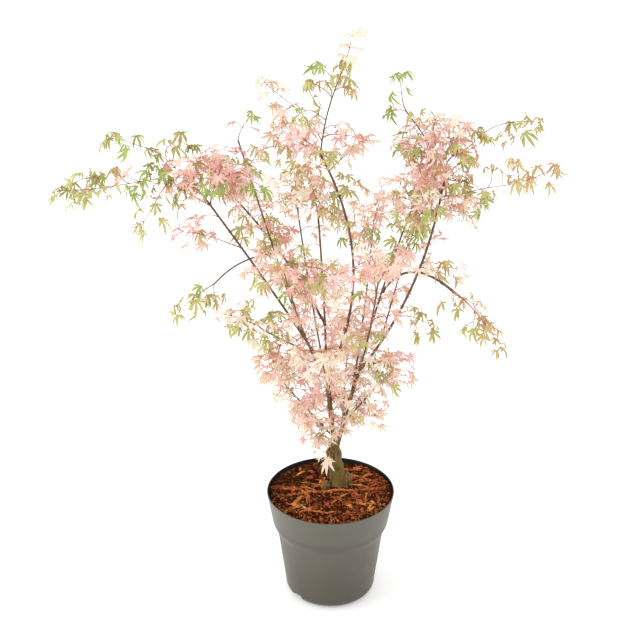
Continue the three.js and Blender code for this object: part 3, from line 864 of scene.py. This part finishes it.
def trunk_surface():
    """The trunk: its girth plus ridges that run along it and lumps at old nodes, closed by a dome on top."""
    sides, rings = 72, 130
    line = trunk_line(rings)
    line[:, 2] += np.linspace(-BURIED, 0, rings)
    line[-14:, 2] += np.linspace(0, 9, 14) * MM
    dome = np.sqrt(np.clip((line[-1, 2] - line[:, 2]) / (10 * MM), 0, 1))
    spot = line[:, None] + circle(sides) * 10 * MM
    ridges = waves(spot * [1, 1, 0.25], 5 * MM, 31) * 0.4 * MM + waves(spot, 13 * MM, 32) * 0.8 * MM
    return limb_surface(line, (trunk_girth(line[:, 2], headings_of(sides)) + ridges) * dome[:, None])


def post(foot, top, radius, sides, rings, seed):
    """A short domed stump: an upright tube with a rough wall whose last rings close over."""
    share = np.linspace(0, 1, rings)
    line = foot + (top - foot) * share[:, None]
    dome = np.sqrt(np.clip(1 - ((share - 0.45) / 0.55).clip(0) ** 2.4, 0, 1))
    spot = line[:, None] + circle(sides) * radius
    rough = waves(spot, 5 * MM, seed) * 0.35 * MM + waves(spot, 14 * MM, seed + 1) * 1.3 * MM
    spread = 2 * MM * np.exp(-share * 6)[:, None]
    return limb_surface(line, (radius + rough + spread) * dome[:, None])


def stumps():
    """The stub of the cut shoot on the trunk's right, and the hump of a root on its left."""
    stub = trunk_points[trunk_points[:, 0] > trunk_foot[0] + 14 * MM]
    foot = np.array([stub[:, 0].max() - STUB_RADIUS, stub[:, 1].mean(), trunk_low - BURIED])
    top = np.array([foot[0] + 1 * MM, foot[1], stub[:, 2].max() + 3 * MM])
    root = foot + [-30 * MM, -5 * MM, 0]
    root_top = root + [3 * MM, 1 * MM, 11 * MM]
    return [post(foot, top, STUB_RADIUS, 40, 30, 35), post(root, root_top, ROOT_RADIUS, 28, 14, 37)]


def stem_surface(name):
    """A stem: its taper, a swelling where it leaves the trunk and a smaller one near its end, and bark."""
    line, foot, tip = limbs[name]
    share = np.linspace(0, 1, len(line))
    swell = 1 + 0.35 * np.exp(-share * 9) + 0.1 * np.exp(-((share - 0.97) / 0.04) ** 2)
    spot = line[:, None] + circle(28) * foot
    relief = waves(spot * [1, 1, 0.3], 4 * MM, 33) * 0.22 * MM + waves(spot, 14 * MM, 34) * 0.35 * MM
    return limb_surface(line, (foot + (tip - foot) * share)[:, None] * swell[:, None] + relief)


def make_old_wood():
    """Trunk, stumps and stems, all in one piece."""
    stems = [stem_surface(name) for name in ("stem_left", "stem_right")]
    points, faces = joined([trunk_surface(), *stumps(), *stems])
    wood = new_piece("trunk_and_stems", points, faces, [old_bark])
    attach(wood, "root")
    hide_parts("trunk", "stem_left", "stem_right")


make_old_wood()

# %% [markdown]
# A bough is smoother than the trunk, but it isn't a plain cone. It has a collar where it leaves its parent
# and a thin ring at every leaf node that it once had. Both are bumps in its radius, exp(-(distance /
# width)^2), with the nodes 27 mm apart. Subdividing a rough tube would round the rings away.

# %% The boughs
NODE_RINGS = 27 * MM
BOUGH_SIDES = 14


def bough_surface(number, name):
    """One bough's tube: taper times swellings, plus a fine uneven surface."""
    line, foot, tip = limbs[name]
    run = run_along(line)
    share = run / run[-1]
    node = np.abs((run / NODE_RINGS + 0.37 * number) % 1 - 0.5)
    swell = 1 + 0.5 * np.exp(-run / (1.6 * foot)) + 0.16 * np.exp(-((0.5 - node) / 0.045) ** 2)
    relief = waves(line[:, None] + circle(BOUGH_SIDES) * foot, 5 * MM, 40 + number) * 0.08 * MM
    return limb_surface(line, ((foot + (tip - foot) * share) * swell)[:, None] + relief)


def make_boughs():
    """Every limb that is younger than the stems, all in one piece."""
    names = [name for name in GROWS_FROM if not name.startswith("stem")]
    points, faces = joined([bough_surface(number, name) for number, name in enumerate(names)])
    boughs = new_piece("boughs", points, faces, [young_bark])
    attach(boughs, "root")
    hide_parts(*names)


make_boughs()

# %% [markdown]
# ## Twigs by a branching rule
# A crown can be grown from the trunk outwards, or from its outline inwards. Here the masses already say
# where the foliage is, so twigs are grown towards them: points are spread evenly inside each mass, and each
# point pulls one shoot out of the wood that reaches it most easily, which is near and does not turn back on
# itself. A new shoot is wood too, so the next one may leave it. The first point of each mass is its far
# end, and that is what carries the crown out to its furthest tips.

# %% The wood so far
class Wood:
    """All the places that a shoot can leave from: where they are, which way they grow, how thick they are."""

    def __init__(self):
        self.points = np.empty((0, 3))
        self.ways = np.empty((0, 3))
        self.girths = np.empty(0)

    def add(self, line, girths, first=0):
        """Adds a line's points, from the one numbered first."""
        ways = unit(np.gradient(line, axis=0))
        self.points = np.concatenate([self.points, line[first:]])
        self.ways = np.concatenate([self.ways, ways[first:]])
        self.girths = np.concatenate([self.girths, np.broadcast_to(girths, len(line))[first:]])

    def easiest(self, target):
        """The number of the place from which a shoot reaches the target most easily.

        The cost is the distance, raised by how far the shoot has to turn from the way the wood grows.
        """
        gap = target - self.points
        distance = np.linalg.norm(gap, axis=1)
        turn = 1 - np.einsum("ij,ij->i", unit(gap), self.ways)
        return int(np.argmin(distance * (1 + 0.9 * turn) + 4 * MM * (distance < 14 * MM)))


wood = Wood()
for name in GROWS_FROM:
    line, foot, tip = limbs[name]
    wood.add(line, np.linspace(foot, tip, len(line)), first=len(line) // 5)
print(len(wood.points), "places to grow from")

# %% [markdown]
# The points that pull the shoots must be far from one another, or the leaves would clump. Random points do
# clump. So many candidates are drawn, and the one furthest from all those taken before is taken each time.

# %% Points spread inside a mass
LEAF_ROOM = 10 * MM
CANDIDATES = 60
FAR_END = 0.74


def from_wood(point):
    """How far a point is from the nearest wood so far."""
    return np.linalg.norm(wood.points - point, axis=1).min()


def spread_points(name, count, draw):
    """Points inside a mass, far from one another, starting with its far end.

    A candidate lies between the mass's middle and a point of its surface, short of the surface by a leaf's
    room. Of all the candidates, the next one taken is always the one furthest from those taken before.
    """
    corners = node_points(name)
    middle = corners.mean(0)
    out = surface_points(name, CANDIDATES * count, draw) - middle
    room = np.clip(1 - LEAF_ROOM / np.linalg.norm(out, axis=1, keepdims=True), 0.35, 1)
    candidates = middle + out * room * draw.uniform(0.02, 1, (CANDIDATES * count, 1)) ** 0.5
    reach = np.array([from_wood(corner) for corner in corners])
    chosen = [middle + (corners[reach.argmax()] - middle) * FAR_END]
    away = np.linalg.norm(candidates - chosen[0], axis=1)
    while len(chosen) < count:
        chosen.append(candidates[away.argmax()])
        away = np.minimum(away, np.linalg.norm(candidates - chosen[-1], axis=1))
    return chosen[:1] + sorted(chosen[1:], key=from_wood)


def shoot_line(foot, way, tip, draw, steps=12):
    """A shoot's line: it leaves along the wood's own way, bends to its tip, and wavers a little."""
    share = np.linspace(0, 1, steps)[:, None]
    length = np.linalg.norm(tip - foot)
    lead = unit(unit(way) * 0.8 + unit(tip - foot) + 0.25 * UP)
    bend = foot + lead * length * 0.45
    line = (1 - share) ** 2 * foot + 2 * share * (1 - share) * bend + share ** 2 * tip
    waver = draw.normal(0, 0.02 * length, (2, 3))
    return line + waver[0] * np.sin(share * math.pi) + waver[1] * np.sin(share * 2 * math.pi)


# %% [markdown]
# How many shoots a mass gets follows from its size in outline, from how full its kind of foliage is, and
# from a share of its own. These shares aren't worked out from anything about the plant. They were tuned by
# trial over many rounds, for this seed only, until each part of the crown was about as full as it should
# be, and another seed needs them tuned again. The nearest masses are grown first, so that the furthest can
# grow out of them. Each shoot is added to the wood as soon as it is made.

# %% Grow the shoots
FULLNESS = {"leaves_pink": 0.8, "leaves_peach": 0.84, "leaves_cream": 1.02, "leaves_green": 0.5}
OWN_SHARE = {
    "mass_right_wing": 1.9, "mass_right_wing_low": 0.75, "mass_right_tip_low": 0.9, "mass_right_arch": 1.8,
    "mass_right_low": 1.6, "mass_right_foot": 1.4, "mass_left_wing": 1.5, "mass_left_leader": 0.6,
    "mass_left_tip_low": 2.0, "mass_left_arch": 1.5, "mass_left_middle": 1.25, "mass_left_low": 2.1,
    "mass_left_foot": 1.6, "mass_crown_top": 0.75, "mass_crown_centre": 0.65, "mass_centre_front": 1.2,
    "mass_centre": 0.5, "mass_centre_low": 0.3, "mass_front_left": 1.15, "mass_front_right": 0.75,
    "mass_front_low": 0.5, "mass_back_left": 0.7, "mass_back_low": 0.75,
}
slot_of = {part["node"]: part["material_slot"] for part in frame["record"]["subparts"]}
mass_names = sorted(name for name in frame["nodes"] if name.startswith("mass_"))


def mass_order(name):
    """Masses near the limbs come first, so that the furthest grow from their neighbours' shoots."""
    return from_wood(node_points(name).mean(0))


def outline_size(name):
    """A mass's length times its width, in thousands of square millimetres."""
    points = node_points(name)
    axes = np.linalg.svd(points - points.mean(0), full_matrices=False)[2]
    spans = np.sort(np.ptp(points @ axes.T, axis=0) / MM)
    return spans[2] * spans[1] / 1000


def grow_shoots(draw):
    """One shoot for each spread point of each mass.

    A shoot is its line, the mass's slot, whether it ends at the mass's rim, and the girth it starts from.
    """
    shoots = []
    for name in sorted(mass_names, key=mass_order):
        count = max(2, round(outline_size(name) * FULLNESS[slot_of[name]] * OWN_SHARE.get(name, 1)))
        targets = spread_points(name, count, draw)
        away = np.linalg.norm(targets - np.mean(targets, axis=0), axis=1)
        for target, at_rim in zip(targets, away > np.percentile(away, 60)):
            place = wood.easiest(target)
            line = shoot_line(wood.points[place], wood.ways[place], target, draw)
            wood.add(line, 0.6 * MM, first=3)
            shoots.append((line, slot_of[name], at_rim, wood.girths[place]))
    return shoots


draw = np.random.default_rng(SEED + 1)
shoots = grow_shoots(draw)
print(len(shoots), "shoots in the masses")

# %% [markdown]
# Short spurs clothe the limbs between the masses: close together on the low limbs, where leaves sit right
# on the wood, and far apart on the others, which stay bare for most of their length. A few longer shoots
# stand free of every mass, or close round the trunk's fork, and each of those has a row of its own. Their
# rows were set one by one too, to fill gaps that the rule leaves with this seed.

# %% Spurs and free shoots
LEAFY_LIMBS = ("bough_left_low", "bough_right_low", "bough_front_low", "bough_back_low", "bough_left_middle")
BARE_LIMBS = ("bough_left_arch", "bough_right_arch", "leader_tip", "shoot_right")
LEAFY_GAP, SPARSE_GAP = 18 * MM, 40 * MM
GOLDEN_ANGLE = 137.5
CREAM_BELOW, PEACH_BELOW = 0.42, 0.56
# limb, share of its length, heading and climb in degrees, length and sag in mm, slot
FREE_SHOOTS = [
    ("bough_left_outer", 0.74, 183, 18, 82, 0, "leaves_peach"),
    ("bough_right_outer", 0.34, 350, 6, 44, 12, "leaves_green"),
    ("bough_right_outer", 0.9, 350, 12, 46, 16, "leaves_green"),
    ("bough_right_outer", 0.97, 335, 18, 54, 22, "leaves_green"),
    ("bough_right_outer", 0.84, 350, 10, 42, 12, "leaves_pink"),
    ("bough_right_outer", 0.8, 185, 25, 46, 2, "leaves_pink"),
    ("bough_right_outer", 0.86, 255, 20, 44, 6, "leaves_pink"),
    ("bough_right_outer", 0.88, 325, 25, 46, 6, "leaves_pink"),
    ("bough_right_outer", 0.92, 200, 40, 44, 0, "leaves_pink"),
    ("bough_right_outer", 0.95, 20, 40, 44, 4, "leaves_pink"),
    ("bough_right_outer", 0.97, 245, 35, 50, 4, "leaves_pink"),
    ("bough_right_outer", 0.9, 100, 25, 48, 4, "leaves_pink"),
    ("bough_right_arch", 0.62, 330, 30, 60, 12, "leaves_peach"),
    ("bough_left_outer", 0.97, 186, 32, 92, 4, "leaves_peach"),
    ("leader", 0.93, 20, 38, 66, 4, "leaves_peach"),
    ("leader", 0.99, 190, 40, 52, 6, "leaves_pink"),
    ("leader_tip", 0.25, 352, 16, 44, 8, "leaves_pink"),
    ("leader_tip", 0.5, 200, 35, 34, 4, "leaves_green"),
    ("leader_tip", 0.8, 190, 45, 34, 3, "leaves_green"),
    ("leader_tip", 0.95, 20, 70, 28, 2, "leaves_green"),
    ("leader_tip", 0.95, 160, 55, 30, 2, "leaves_green"),
    ("shoot_right", 0.35, 200, 30, 36, 4, "leaves_pink"),
    ("shoot_right", 0.5, 280, 20, 36, 6, "leaves_pink"),
    ("trunk", 0.98, 200, 50, 62, 2, "leaves_cream"),
    ("trunk", 0.99, 160, 60, 28, 0, "leaves_cream"),
    ("trunk", 0.97, 235, 30, 24, 4, "leaves_cream"),
]


def limb_place(name, share):
    """Where a limb stands at a share of its length, and which way it grows there."""
    line = limbs[name][0]
    at = share * (len(line) - 1)
    number = min(int(at), len(line) - 2)
    return line[number] + (line[number + 1] - line[number]) * (at - number), line[number + 1] - line[number]


def heading_way(heading, climb):
    """The unit direction of a heading and a climb, both in degrees."""
    turn, up = math.radians(heading), math.radians(climb)
    return np.array([math.cos(turn) * math.cos(up), math.sin(turn) * math.cos(up), math.sin(up)])


def grow_spurs(draw):
    """Spurs along every limb: each leaves at a golden-angle turn from the last, outwards and a little up."""
    spurs, turn = [], 0.0
    for name in [name for name in GROWS_FROM if name not in BARE_LIMBS]:
        line, foot, tip = limbs[name]
        length = run_along(line)[-1]
        gap = LEAFY_GAP if name in LEAFY_LIMBS else SPARSE_GAP
        for at in np.arange(gap * 0.8, length, gap) + draw.uniform(-0.2, 0.2) * gap:
            turn += GOLDEN_ANGLE + draw.normal(0, 12)
            start, way = limb_place(name, min(at / length, 1))
            if start[2] < trunk_high + 30 * MM:
                continue
            climb = draw.uniform(5, 40)
            reach = draw.uniform(9, 26) * MM
            target = start + heading_way(turn, climb) * reach
            kind = "cream" if start[2] < CREAM_BELOW else "peach" if start[2] < PEACH_BELOW else "pink"
            spurs.append((shoot_line(start, way, target, draw), "leaves_" + kind, False, tip))
    return spurs


def grow_free_shoots(draw):
    """The shoots of the table. All but the pink ones take the colours of a mass's rim."""
    free = []
    for name, share, heading, climb, length, sag, slot in FREE_SHOOTS:
        start, way = limb_place(name, share)
        target = start + heading_way(heading, climb) * length * MM - UP * sag * MM
        line = shoot_line(start, heading_way(heading, climb + 12), target, draw)
        free.append((line, slot, slot != "leaves_pink", 0.9 * MM))
    return free


shoots += grow_spurs(draw) + grow_free_shoots(draw)
lengths = np.array([run_along(line)[-1] for line, *_ in shoots])
print(len(shoots), "shoots in all,", (lengths.mean() / MM).round(1), "mm long on average")

# %% [markdown]
# ## Leaves
# A leaf of this maple is a hand of seven narrow lobes. One leaf is 56 faces: each lobe is a fold of two
# strips from the leaf's heart to its tip, wide in the middle, and neighbouring lobes share the point
# between them. There are two kinds: open stars, which are the grown pink and cream leaves, and hanging
# hands whose outer lobes are short, which are the young green ones. A flat card with a cut-out image would
# be lighter, but it would catch the light as one flat thing. All the leaves of one colour are made in a
# single array.

# %% The outline of one leaf
LOBES = 7
LEAF_POINTS = 16 + 7 * LOBES
LEAF_KINDS = {
    "star": {
        "heart": 0.22,
        "turns": np.radians([-114, -76, -38, 0, 38, 76, 114]),
        "lengths": np.array([0.4, 0.72, 0.93, 1.0, 0.93, 0.72, 0.4]),
        "stations": (0.28, 0.64), "widths": (0.096, 0.062),
        "reach": 22 * MM, "droop": 0.42, "curl": (0.35, 1.2),
    },
    "hanging": {
        "heart": 0.16,
        "turns": np.radians([-100, -70, -35, 0, 35, 70, 100]),
        "lengths": np.array([0.2, 0.5, 0.86, 1.0, 0.86, 0.5, 0.2]),
        "stations": (0.42, 0.74), "widths": (0.1, 0.076),
        "reach": 26 * MM, "droop": 0.85, "curl": (0.7, 1.8),
    },
}


def leaf_faces():
    """Faces of one leaf: point 0 is its heart, then 8 between-lobe points, 7 midrib points at the same ring,
    then for each lobe left, middle and right at two stations, and its tip."""
    triangles, quads = [], []
    for lobe in range(LOBES):
        left, right, rib = 1 + lobe, 2 + lobe, 9 + lobe
        row = 16 + 7 * lobe
        low, high, tip = row, row + 3, row + 6
        triangles += [(0, rib, left), (0, right, rib), (high, high + 1, tip), (high + 1, high + 2, tip)]
        quads += [(left, rib, low + 1, low), (rib, right, low + 2, low + 1)]
        quads += [(low, low + 1, high + 1, high), (low + 1, low + 2, high + 2, high + 1)]
    return np.array(triangles), np.array(quads)


def rays(angles):
    """Unit vectors in a leaf's own plane: the angle is measured from forward towards across."""
    return np.stack([np.sin(angles), np.cos(angles), 0 * angles], -1)


def leaf_points(draw, count, kind):
    """Flat leaves (count, LEAF_POINTS, 3) of reach 1: across, forward, and up.

    They differ in their lobes' lengths and turns. Each lobe is folded down along its rib, rolled a little
    about it, and lifted or lowered towards its tip, so that no leaf lies flat.
    """
    heart = kind["heart"]
    lengths = kind["lengths"] * draw.uniform(0.84, 1.1, (count, LOBES))
    turns = kind["turns"] + draw.normal(0, 0.07, (count, LOBES))
    lift = draw.normal(0, 0.16, (count, LOBES, 1)) * UP
    roll = draw.normal(0, 0.5, (count, LOBES, 1))
    first, last = turns[:, :1] - 0.33, turns[:, -1:] + 0.33
    between = np.concatenate([first, (turns[:, :-1] + turns[:, 1:]) / 2, last], 1)
    side = np.stack([np.cos(turns), -np.sin(turns), 0 * turns], -1)
    rows = []
    for station, width in zip(kind["stations"], kind["widths"]):
        middle = rays(turns) * (heart + (lengths - heart) * station)[..., None] + lift * station ** 2
        half = side * (width * np.sqrt(lengths))[..., None]
        tilted = half * np.cos(roll) + UP * np.sin(roll) * width
        rows += [middle - tilted + UP * width * 0.5, middle, middle + tilted + UP * width * 0.5]
    tip = rays(turns) * lengths[..., None] + lift
    lobes = np.stack(rows + [tip], 2).reshape(count, -1, 3)
    middle = np.zeros((count, 1, 3))
    return np.concatenate([middle, rays(between) * heart * 1.05 + UP * 0.025, rays(turns) * heart, lobes], 1)


def curled(flat, curl):
    """Leaves bent over a cylinder: a point at distance r from the heart moves to sin(curl r) / curl outwards
    and (1 - cos(curl r)) / curl down."""
    distance = np.linalg.norm(flat[..., :2], axis=-1, keepdims=True)
    bend = curl[:, None, None]
    outward = np.sin(bend * distance) / bend / np.maximum(distance, 1e-9)
    down = (1 - np.cos(bend * distance)) / bend
    return np.concatenate([flat[..., :2] * outward, flat[..., 2:] - down], -1)


# %% [markdown]
# The crown shows eight leaf colours, each a thin matt finish of one colour with faint mottling towards a
# second. A grid of colours in an image would do it with one finish, but a plain finish for each can be
# changed by itself. The colours are dealt out by spray, by shares that depend on the mass: pink and coral
# above, salmon, peach and cream below, and green, olive and bronze at the tips. A mass's rim has more of
# the young greens than its core, and a few leaves stray from their spray's colour.

# %% Colours of the leaves
def blade(name, colour, shade):
    """A thin matt leaf: one colour with faint cloudy mottling towards a second, and a soft sheen."""
    finish = Finish(name, colour, 0.52, IOR=1.4)
    mottle = finish.noise(190, 3, roughness=0.6)
    finish.set("Base Color", finish.mix(finish.step(mottle, 0.4, 0.75) * 0.55, colour, shade))
    finish.bump(finish.noise(1400, 2), 0.1 * MM, 0.25)
    return finish


BLADES = {
    "pink": blade("leaf_pink", linear(240, 198, 188), linear(234, 174, 164)),
    "coral": blade("leaf_coral", linear(231, 170, 158), linear(221, 140, 129)),
    "salmon": blade("leaf_salmon", linear(242, 207, 187), linear(236, 184, 162)),
    "peach": blade("leaf_peach", linear(243, 226, 205), linear(236, 208, 182)),
    "cream": blade("leaf_cream", linear(247, 237, 214), linear(238, 220, 182)),
    "olive": blade("leaf_olive", linear(194, 189, 118), linear(164, 155, 74)),
    "bronze": blade("leaf_bronze", linear(208, 184, 130), linear(186, 154, 90)),
    "green": blade("leaf_green", linear(168, 184, 98), linear(132, 156, 60)),
}
LEAF_SLOTS = {
    "pink": "leaves_pink", "coral": "leaves_pink", "salmon": "leaves_peach", "peach": "leaves_peach",
    "cream": "leaves_cream", "olive": "leaves_green", "bronze": "leaves_green", "green": "leaves_green",
}
# The shares of each colour, in the order of BLADES, on the shoots inside a mass and on those at its rim.
# They were tuned.
SHARES = {
    "leaves_pink": (0.3, 0.22, 0.2, 0.11, 0.02, 0.07, 0.05, 0.03),
    "leaves_peach": (0.17, 0.05, 0.33, 0.29, 0.06, 0.05, 0.04, 0.01),
    "leaves_cream": (0.16, 0.03, 0.39, 0.31, 0.09, 0.01, 0.01, 0.0),
    "leaves_green": (0.01, 0.02, 0.04, 0.05, 0.04, 0.44, 0.19, 0.21),
}
RIM_SHARES = {
    "leaves_pink": (0.17, 0.1, 0.14, 0.1, 0.03, 0.23, 0.12, 0.11),
    "leaves_peach": (0.13, 0.03, 0.22, 0.22, 0.08, 0.17, 0.09, 0.06),
    "leaves_cream": (0.15, 0.01, 0.31, 0.32, 0.13, 0.05, 0.02, 0.01),
    "leaves_green": (0.01, 0.01, 0.02, 0.02, 0.03, 0.44, 0.19, 0.28),
}

# %% [markdown]
# Leaves stand in opposite pairs along a shoot, and each pair is turned a quarter round from the last, with
# four leaves at the shoot's end. Only the last 50 mm of a shoot has leaves, as on a real plant. A stalk
# leaves its node outwards and a little up, and the blade hangs from its end. Scattering leaves at random on
# the twigs would be shorter, but it never looks like sprays.

# %% Where every leaf stands
NODE_GAP = 13.5 * MM
FIRST_NODE = 9 * MM
LEAFY_END = 50 * MM
STRAYS_AT_END, STRAYS = 0.5, 0.2


def leaves_of(line, slot, at_rim, draw):
    """Rows for one shoot's leaves: node, way of the stalk, size and colour."""
    run = run_along(line)
    gap = NODE_GAP * (1.25 if slot == "leaves_green" else 1) * draw.uniform(0.9, 1.15)
    nodes = np.arange(run[-1], max(min(FIRST_NODE, run[-1] * 0.5), run[-1] - LEAFY_END), -gap)
    tangents = unit(np.gradient(line, axis=0))
    names = list(BLADES)
    spray = names[draw.choice(len(names), p=(RIM_SHARES if at_rim else SHARES)[slot])]
    rows = []
    for number, at in enumerate(nodes):
        node = np.array([np.interp(at, run, line[:, axis]) for axis in range(3)])
        way = unit(np.array([np.interp(at, run, tangents[:, axis]) for axis in range(3)]))
        flat = unit(np.cross(way, UP) + draw.normal(0, 0.05, 3))
        other = np.cross(flat, way)
        quarter = (number % 2) * math.pi / 2 + draw.normal(0, 0.35)
        out = flat * math.cos(quarter) + other * math.sin(quarter)
        end = number == 0
        strays = draw.random() < (STRAYS_AT_END if end else STRAYS)
        colour = names[draw.choice(len(names), p=RIM_SHARES[slot])] if strays else spray
        for sign in (-1, 1):
            stalk = unit(way * (0.75 if end else 0.35) + sign * out + 0.3 * UP)
            rows.append((node, stalk, draw.uniform(0.78, 1.0) * (0.85 if end else 1.0), colour))
        if end:
            for sign in (-1, 1):
                stalk = unit(way * 1.3 + sign * np.cross(out, way) * 0.7 + 0.15 * UP)
                rows.append((node, stalk, draw.uniform(0.45, 0.7), colour))
    return rows


draw = np.random.default_rng(SEED + 2)
leaves = [row for line, slot, at_rim, _ in shoots for row in leaves_of(line, slot, at_rim, draw)]
print(len(leaves), "leaves")

# %% [markdown]
# Each leaf is curled over a cylinder from its heart outwards, so that its lobes hang, then turned by three
# axes of its own and set on its stalk. The turns of a whole colour are one product of arrays. The stalks of
# all colours are one more piece of tubes.

# %% Make the leaves, colour by colour
def stalk_lines(nodes, ways, lengths):
    """Stalks: from the node outwards along the way, sinking a little towards the blade."""
    share = np.linspace(0, 1, 5)[None, :, None]
    reach = lengths[:, None, None] * share
    return nodes[:, None] + ways[:, None] * reach - UP * reach * share * 0.25


def leaf_axes(ways, droop, roll):
    """Across, forward and up of each blade: forward is the stalk's way laid level, then lowered by the droop
    and rolled about itself."""
    level = unit(ways * [1, 1, 0] + 1e-6)
    forward = level * np.cos(droop)[:, None] - UP * np.sin(droop)[:, None]
    across = unit(np.cross(forward, UP))
    up = np.cross(across, forward)
    turned = across * np.cos(roll)[:, None] + up * np.sin(roll)[:, None]
    return np.stack([turned, forward, np.cross(turned, forward)], 1)


def leaves_of_colour(colour, finish, draw):
    """One piece of all the leaves of a colour. Gives back the lines of their stalks."""
    rows = [row for row in leaves if row[3] == colour]
    count = len(rows)
    nodes, ways = np.array([row[0] for row in rows]), np.array([row[1] for row in rows])
    kind = LEAF_KINDS["hanging" if LEAF_SLOTS[colour] == "leaves_green" else "star"]
    size = np.array([row[2] for row in rows]) * kind["reach"] * draw.uniform(0.85, 1.2, count)
    stalks = stalk_lines(nodes, ways, draw.uniform(9, 17, count) * MM)
    axes = leaf_axes(ways, draw.normal(kind["droop"], 0.38, count), draw.normal(0, 0.45, count))
    shape = curled(leaf_points(draw, count, kind), draw.uniform(*kind["curl"], count))
    points = stalks[:, -1, None] + np.einsum("npk,nkd->npd", shape * size[:, None, None], axes)
    step = (np.arange(count) * LEAF_POINTS)[:, None, None]
    faces = [(part[None] + step).reshape(-1, part.shape[1]) for part in leaf_faces()]
    piece = new_piece("leaves_" + colour, points.reshape(-1, 3), faces, [finish])
    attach(piece, "root")
    return stalks


def make_leaves(draw):
    """The leaves, colour by colour, and then the stalks of them all."""
    lines = np.concatenate([leaves_of_colour(colour, finish, draw) for colour, finish in BLADES.items()])
    girths = np.linspace(0.42 * MM, 0.3 * MM, lines.shape[1])[None] + 0 * lines[:, :, 0]
    points, faces = tubes(lines, girths, 5)
    stalk_piece = new_piece("leaf_stalks", points, faces, [stalk_skin])
    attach(stalk_piece, "root")


make_leaves(draw)

# %% [markdown]
# The twigs are what the leaves stand on, so they are drawn from the same lines. Their radius falls from
# foot to end, with a swelling at the foot, and never passes that of the wood they leave. This piece stands
# for all the masses: with the leaves it fills the room of every plain solid.

# %% Make the twigs
def make_twigs():
    """All the shoots as thin tubes that taper to their ends and swell a little where they leave the wood."""
    lines = np.array([line for line, *_ in shoots])
    share = np.linspace(0, 1, lines.shape[1])[None]
    length = lengths[:, None]
    foot = np.clip(0.55 * MM + length * 0.006, 0.5 * MM, 1.2 * MM)
    foot = np.minimum(foot, np.array([shoot[3] for shoot in shoots])[:, None] * 0.95)
    girths = foot + (0.36 * MM - foot) * share + foot * 0.4 * np.exp(-share * 14)
    points, faces = tubes(lines, girths, 7)
    twigs = new_piece("twigs", points, faces, [twig_bark])
    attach(twigs, "root")
    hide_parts(*mass_names)


make_twigs()

# %% [markdown]
# ## Floor, light and camera
# The plant stands on a plain pale floor in a bright even surround, which keeps thin leaves luminous and
# makes the pot paler towards its edges. A large soft panel on the left gives the pot its shape, and two
# weak ones fill the right and the top. A dome image would light it too, but it would put a room into the
# picture.

# %% Stage
def make_floor():
    """A wide flat floor at the pot's underside, faintly lit from within like a light table."""
    edge = 14.0
    corners = np.array([[-edge, -edge, 0], [edge, -edge, 0], [edge, edge, 0], [-edge, edge, 0]])
    glow = {"Emission_Color": (1, 1, 1, 1), "Emission_Strength": 0.26}
    pale = Finish("pale_floor", linear(248, 248, 248), 0.9, **glow)
    floor = new_piece("studio_floor", corners, [np.array([[0, 1, 2, 3]])], [pale], smooth=False)


def add_panel(name, place, aim, width, height, power):
    """A soft rectangular light at a place, facing an aim."""
    light = bpy.data.lights.new(name, "AREA")
    light.shape, light.size, light.size_y, light.energy = "RECTANGLE", width, height, power
    panel = bpy.data.objects.new(name, light)
    panel.location = place
    panel.rotation_euler = (Vector(aim) - Vector(place)).to_track_quat("-Z", "Y").to_euler()
    bpy.context.scene.collection.objects.link(panel)


make_floor()
add_panel("panel_left", (-2.2, -0.5, 1.2), (0, 0, 0.4), 1.6, 2.0, 23)
add_panel("panel_right", (2.3, 0.1, 1.2), (0, 0, 0.4), 1.4, 2.0, 2)
add_panel("panel_top", (0, 0.3, 2.8), (0, 0, 0.3), 2.0, 2.0, 8)
surround = bpy.data.worlds.new("pale_surround")
surround.use_nodes = True
surround.node_tree.nodes["Background"].inputs["Color"].default_value = (1, 1, 1, 1)
surround.node_tree.nodes["Background"].inputs["Strength"].default_value = 1.0
bpy.context.scene.world = surround
bpy.context.scene.view_settings.view_transform = "Standard"
print("lit by three panels and a pale surround")

# %% [markdown]
# The camera stands about two metres away and looks down by 25 degrees through a long lens, which keeps the
# pot's sides nearly parallel. A nearer camera with a wide lens would swell the boughs that lean to the
# front.

# %% Camera
CAMERA_PLACE = (-0.0157, -1.8657, 1.333)
LOOK_DOWN = 25.32
LENS_MM = 82.16
SENSOR_MM = 36
camera_data = bpy.data.cameras.new("camera")
camera_data.lens = LENS_MM
camera_data.sensor_width = SENSOR_MM
camera = bpy.data.objects.new("camera", camera_data)
camera.location = CAMERA_PLACE
camera.rotation_euler = (math.radians(90 - LOOK_DOWN), 0, 0)
bpy.context.scene.collection.objects.link(camera)
bpy.context.scene.camera = camera
print("camera at", CAMERA_PLACE, "with a lens of", LENS_MM, "mm")
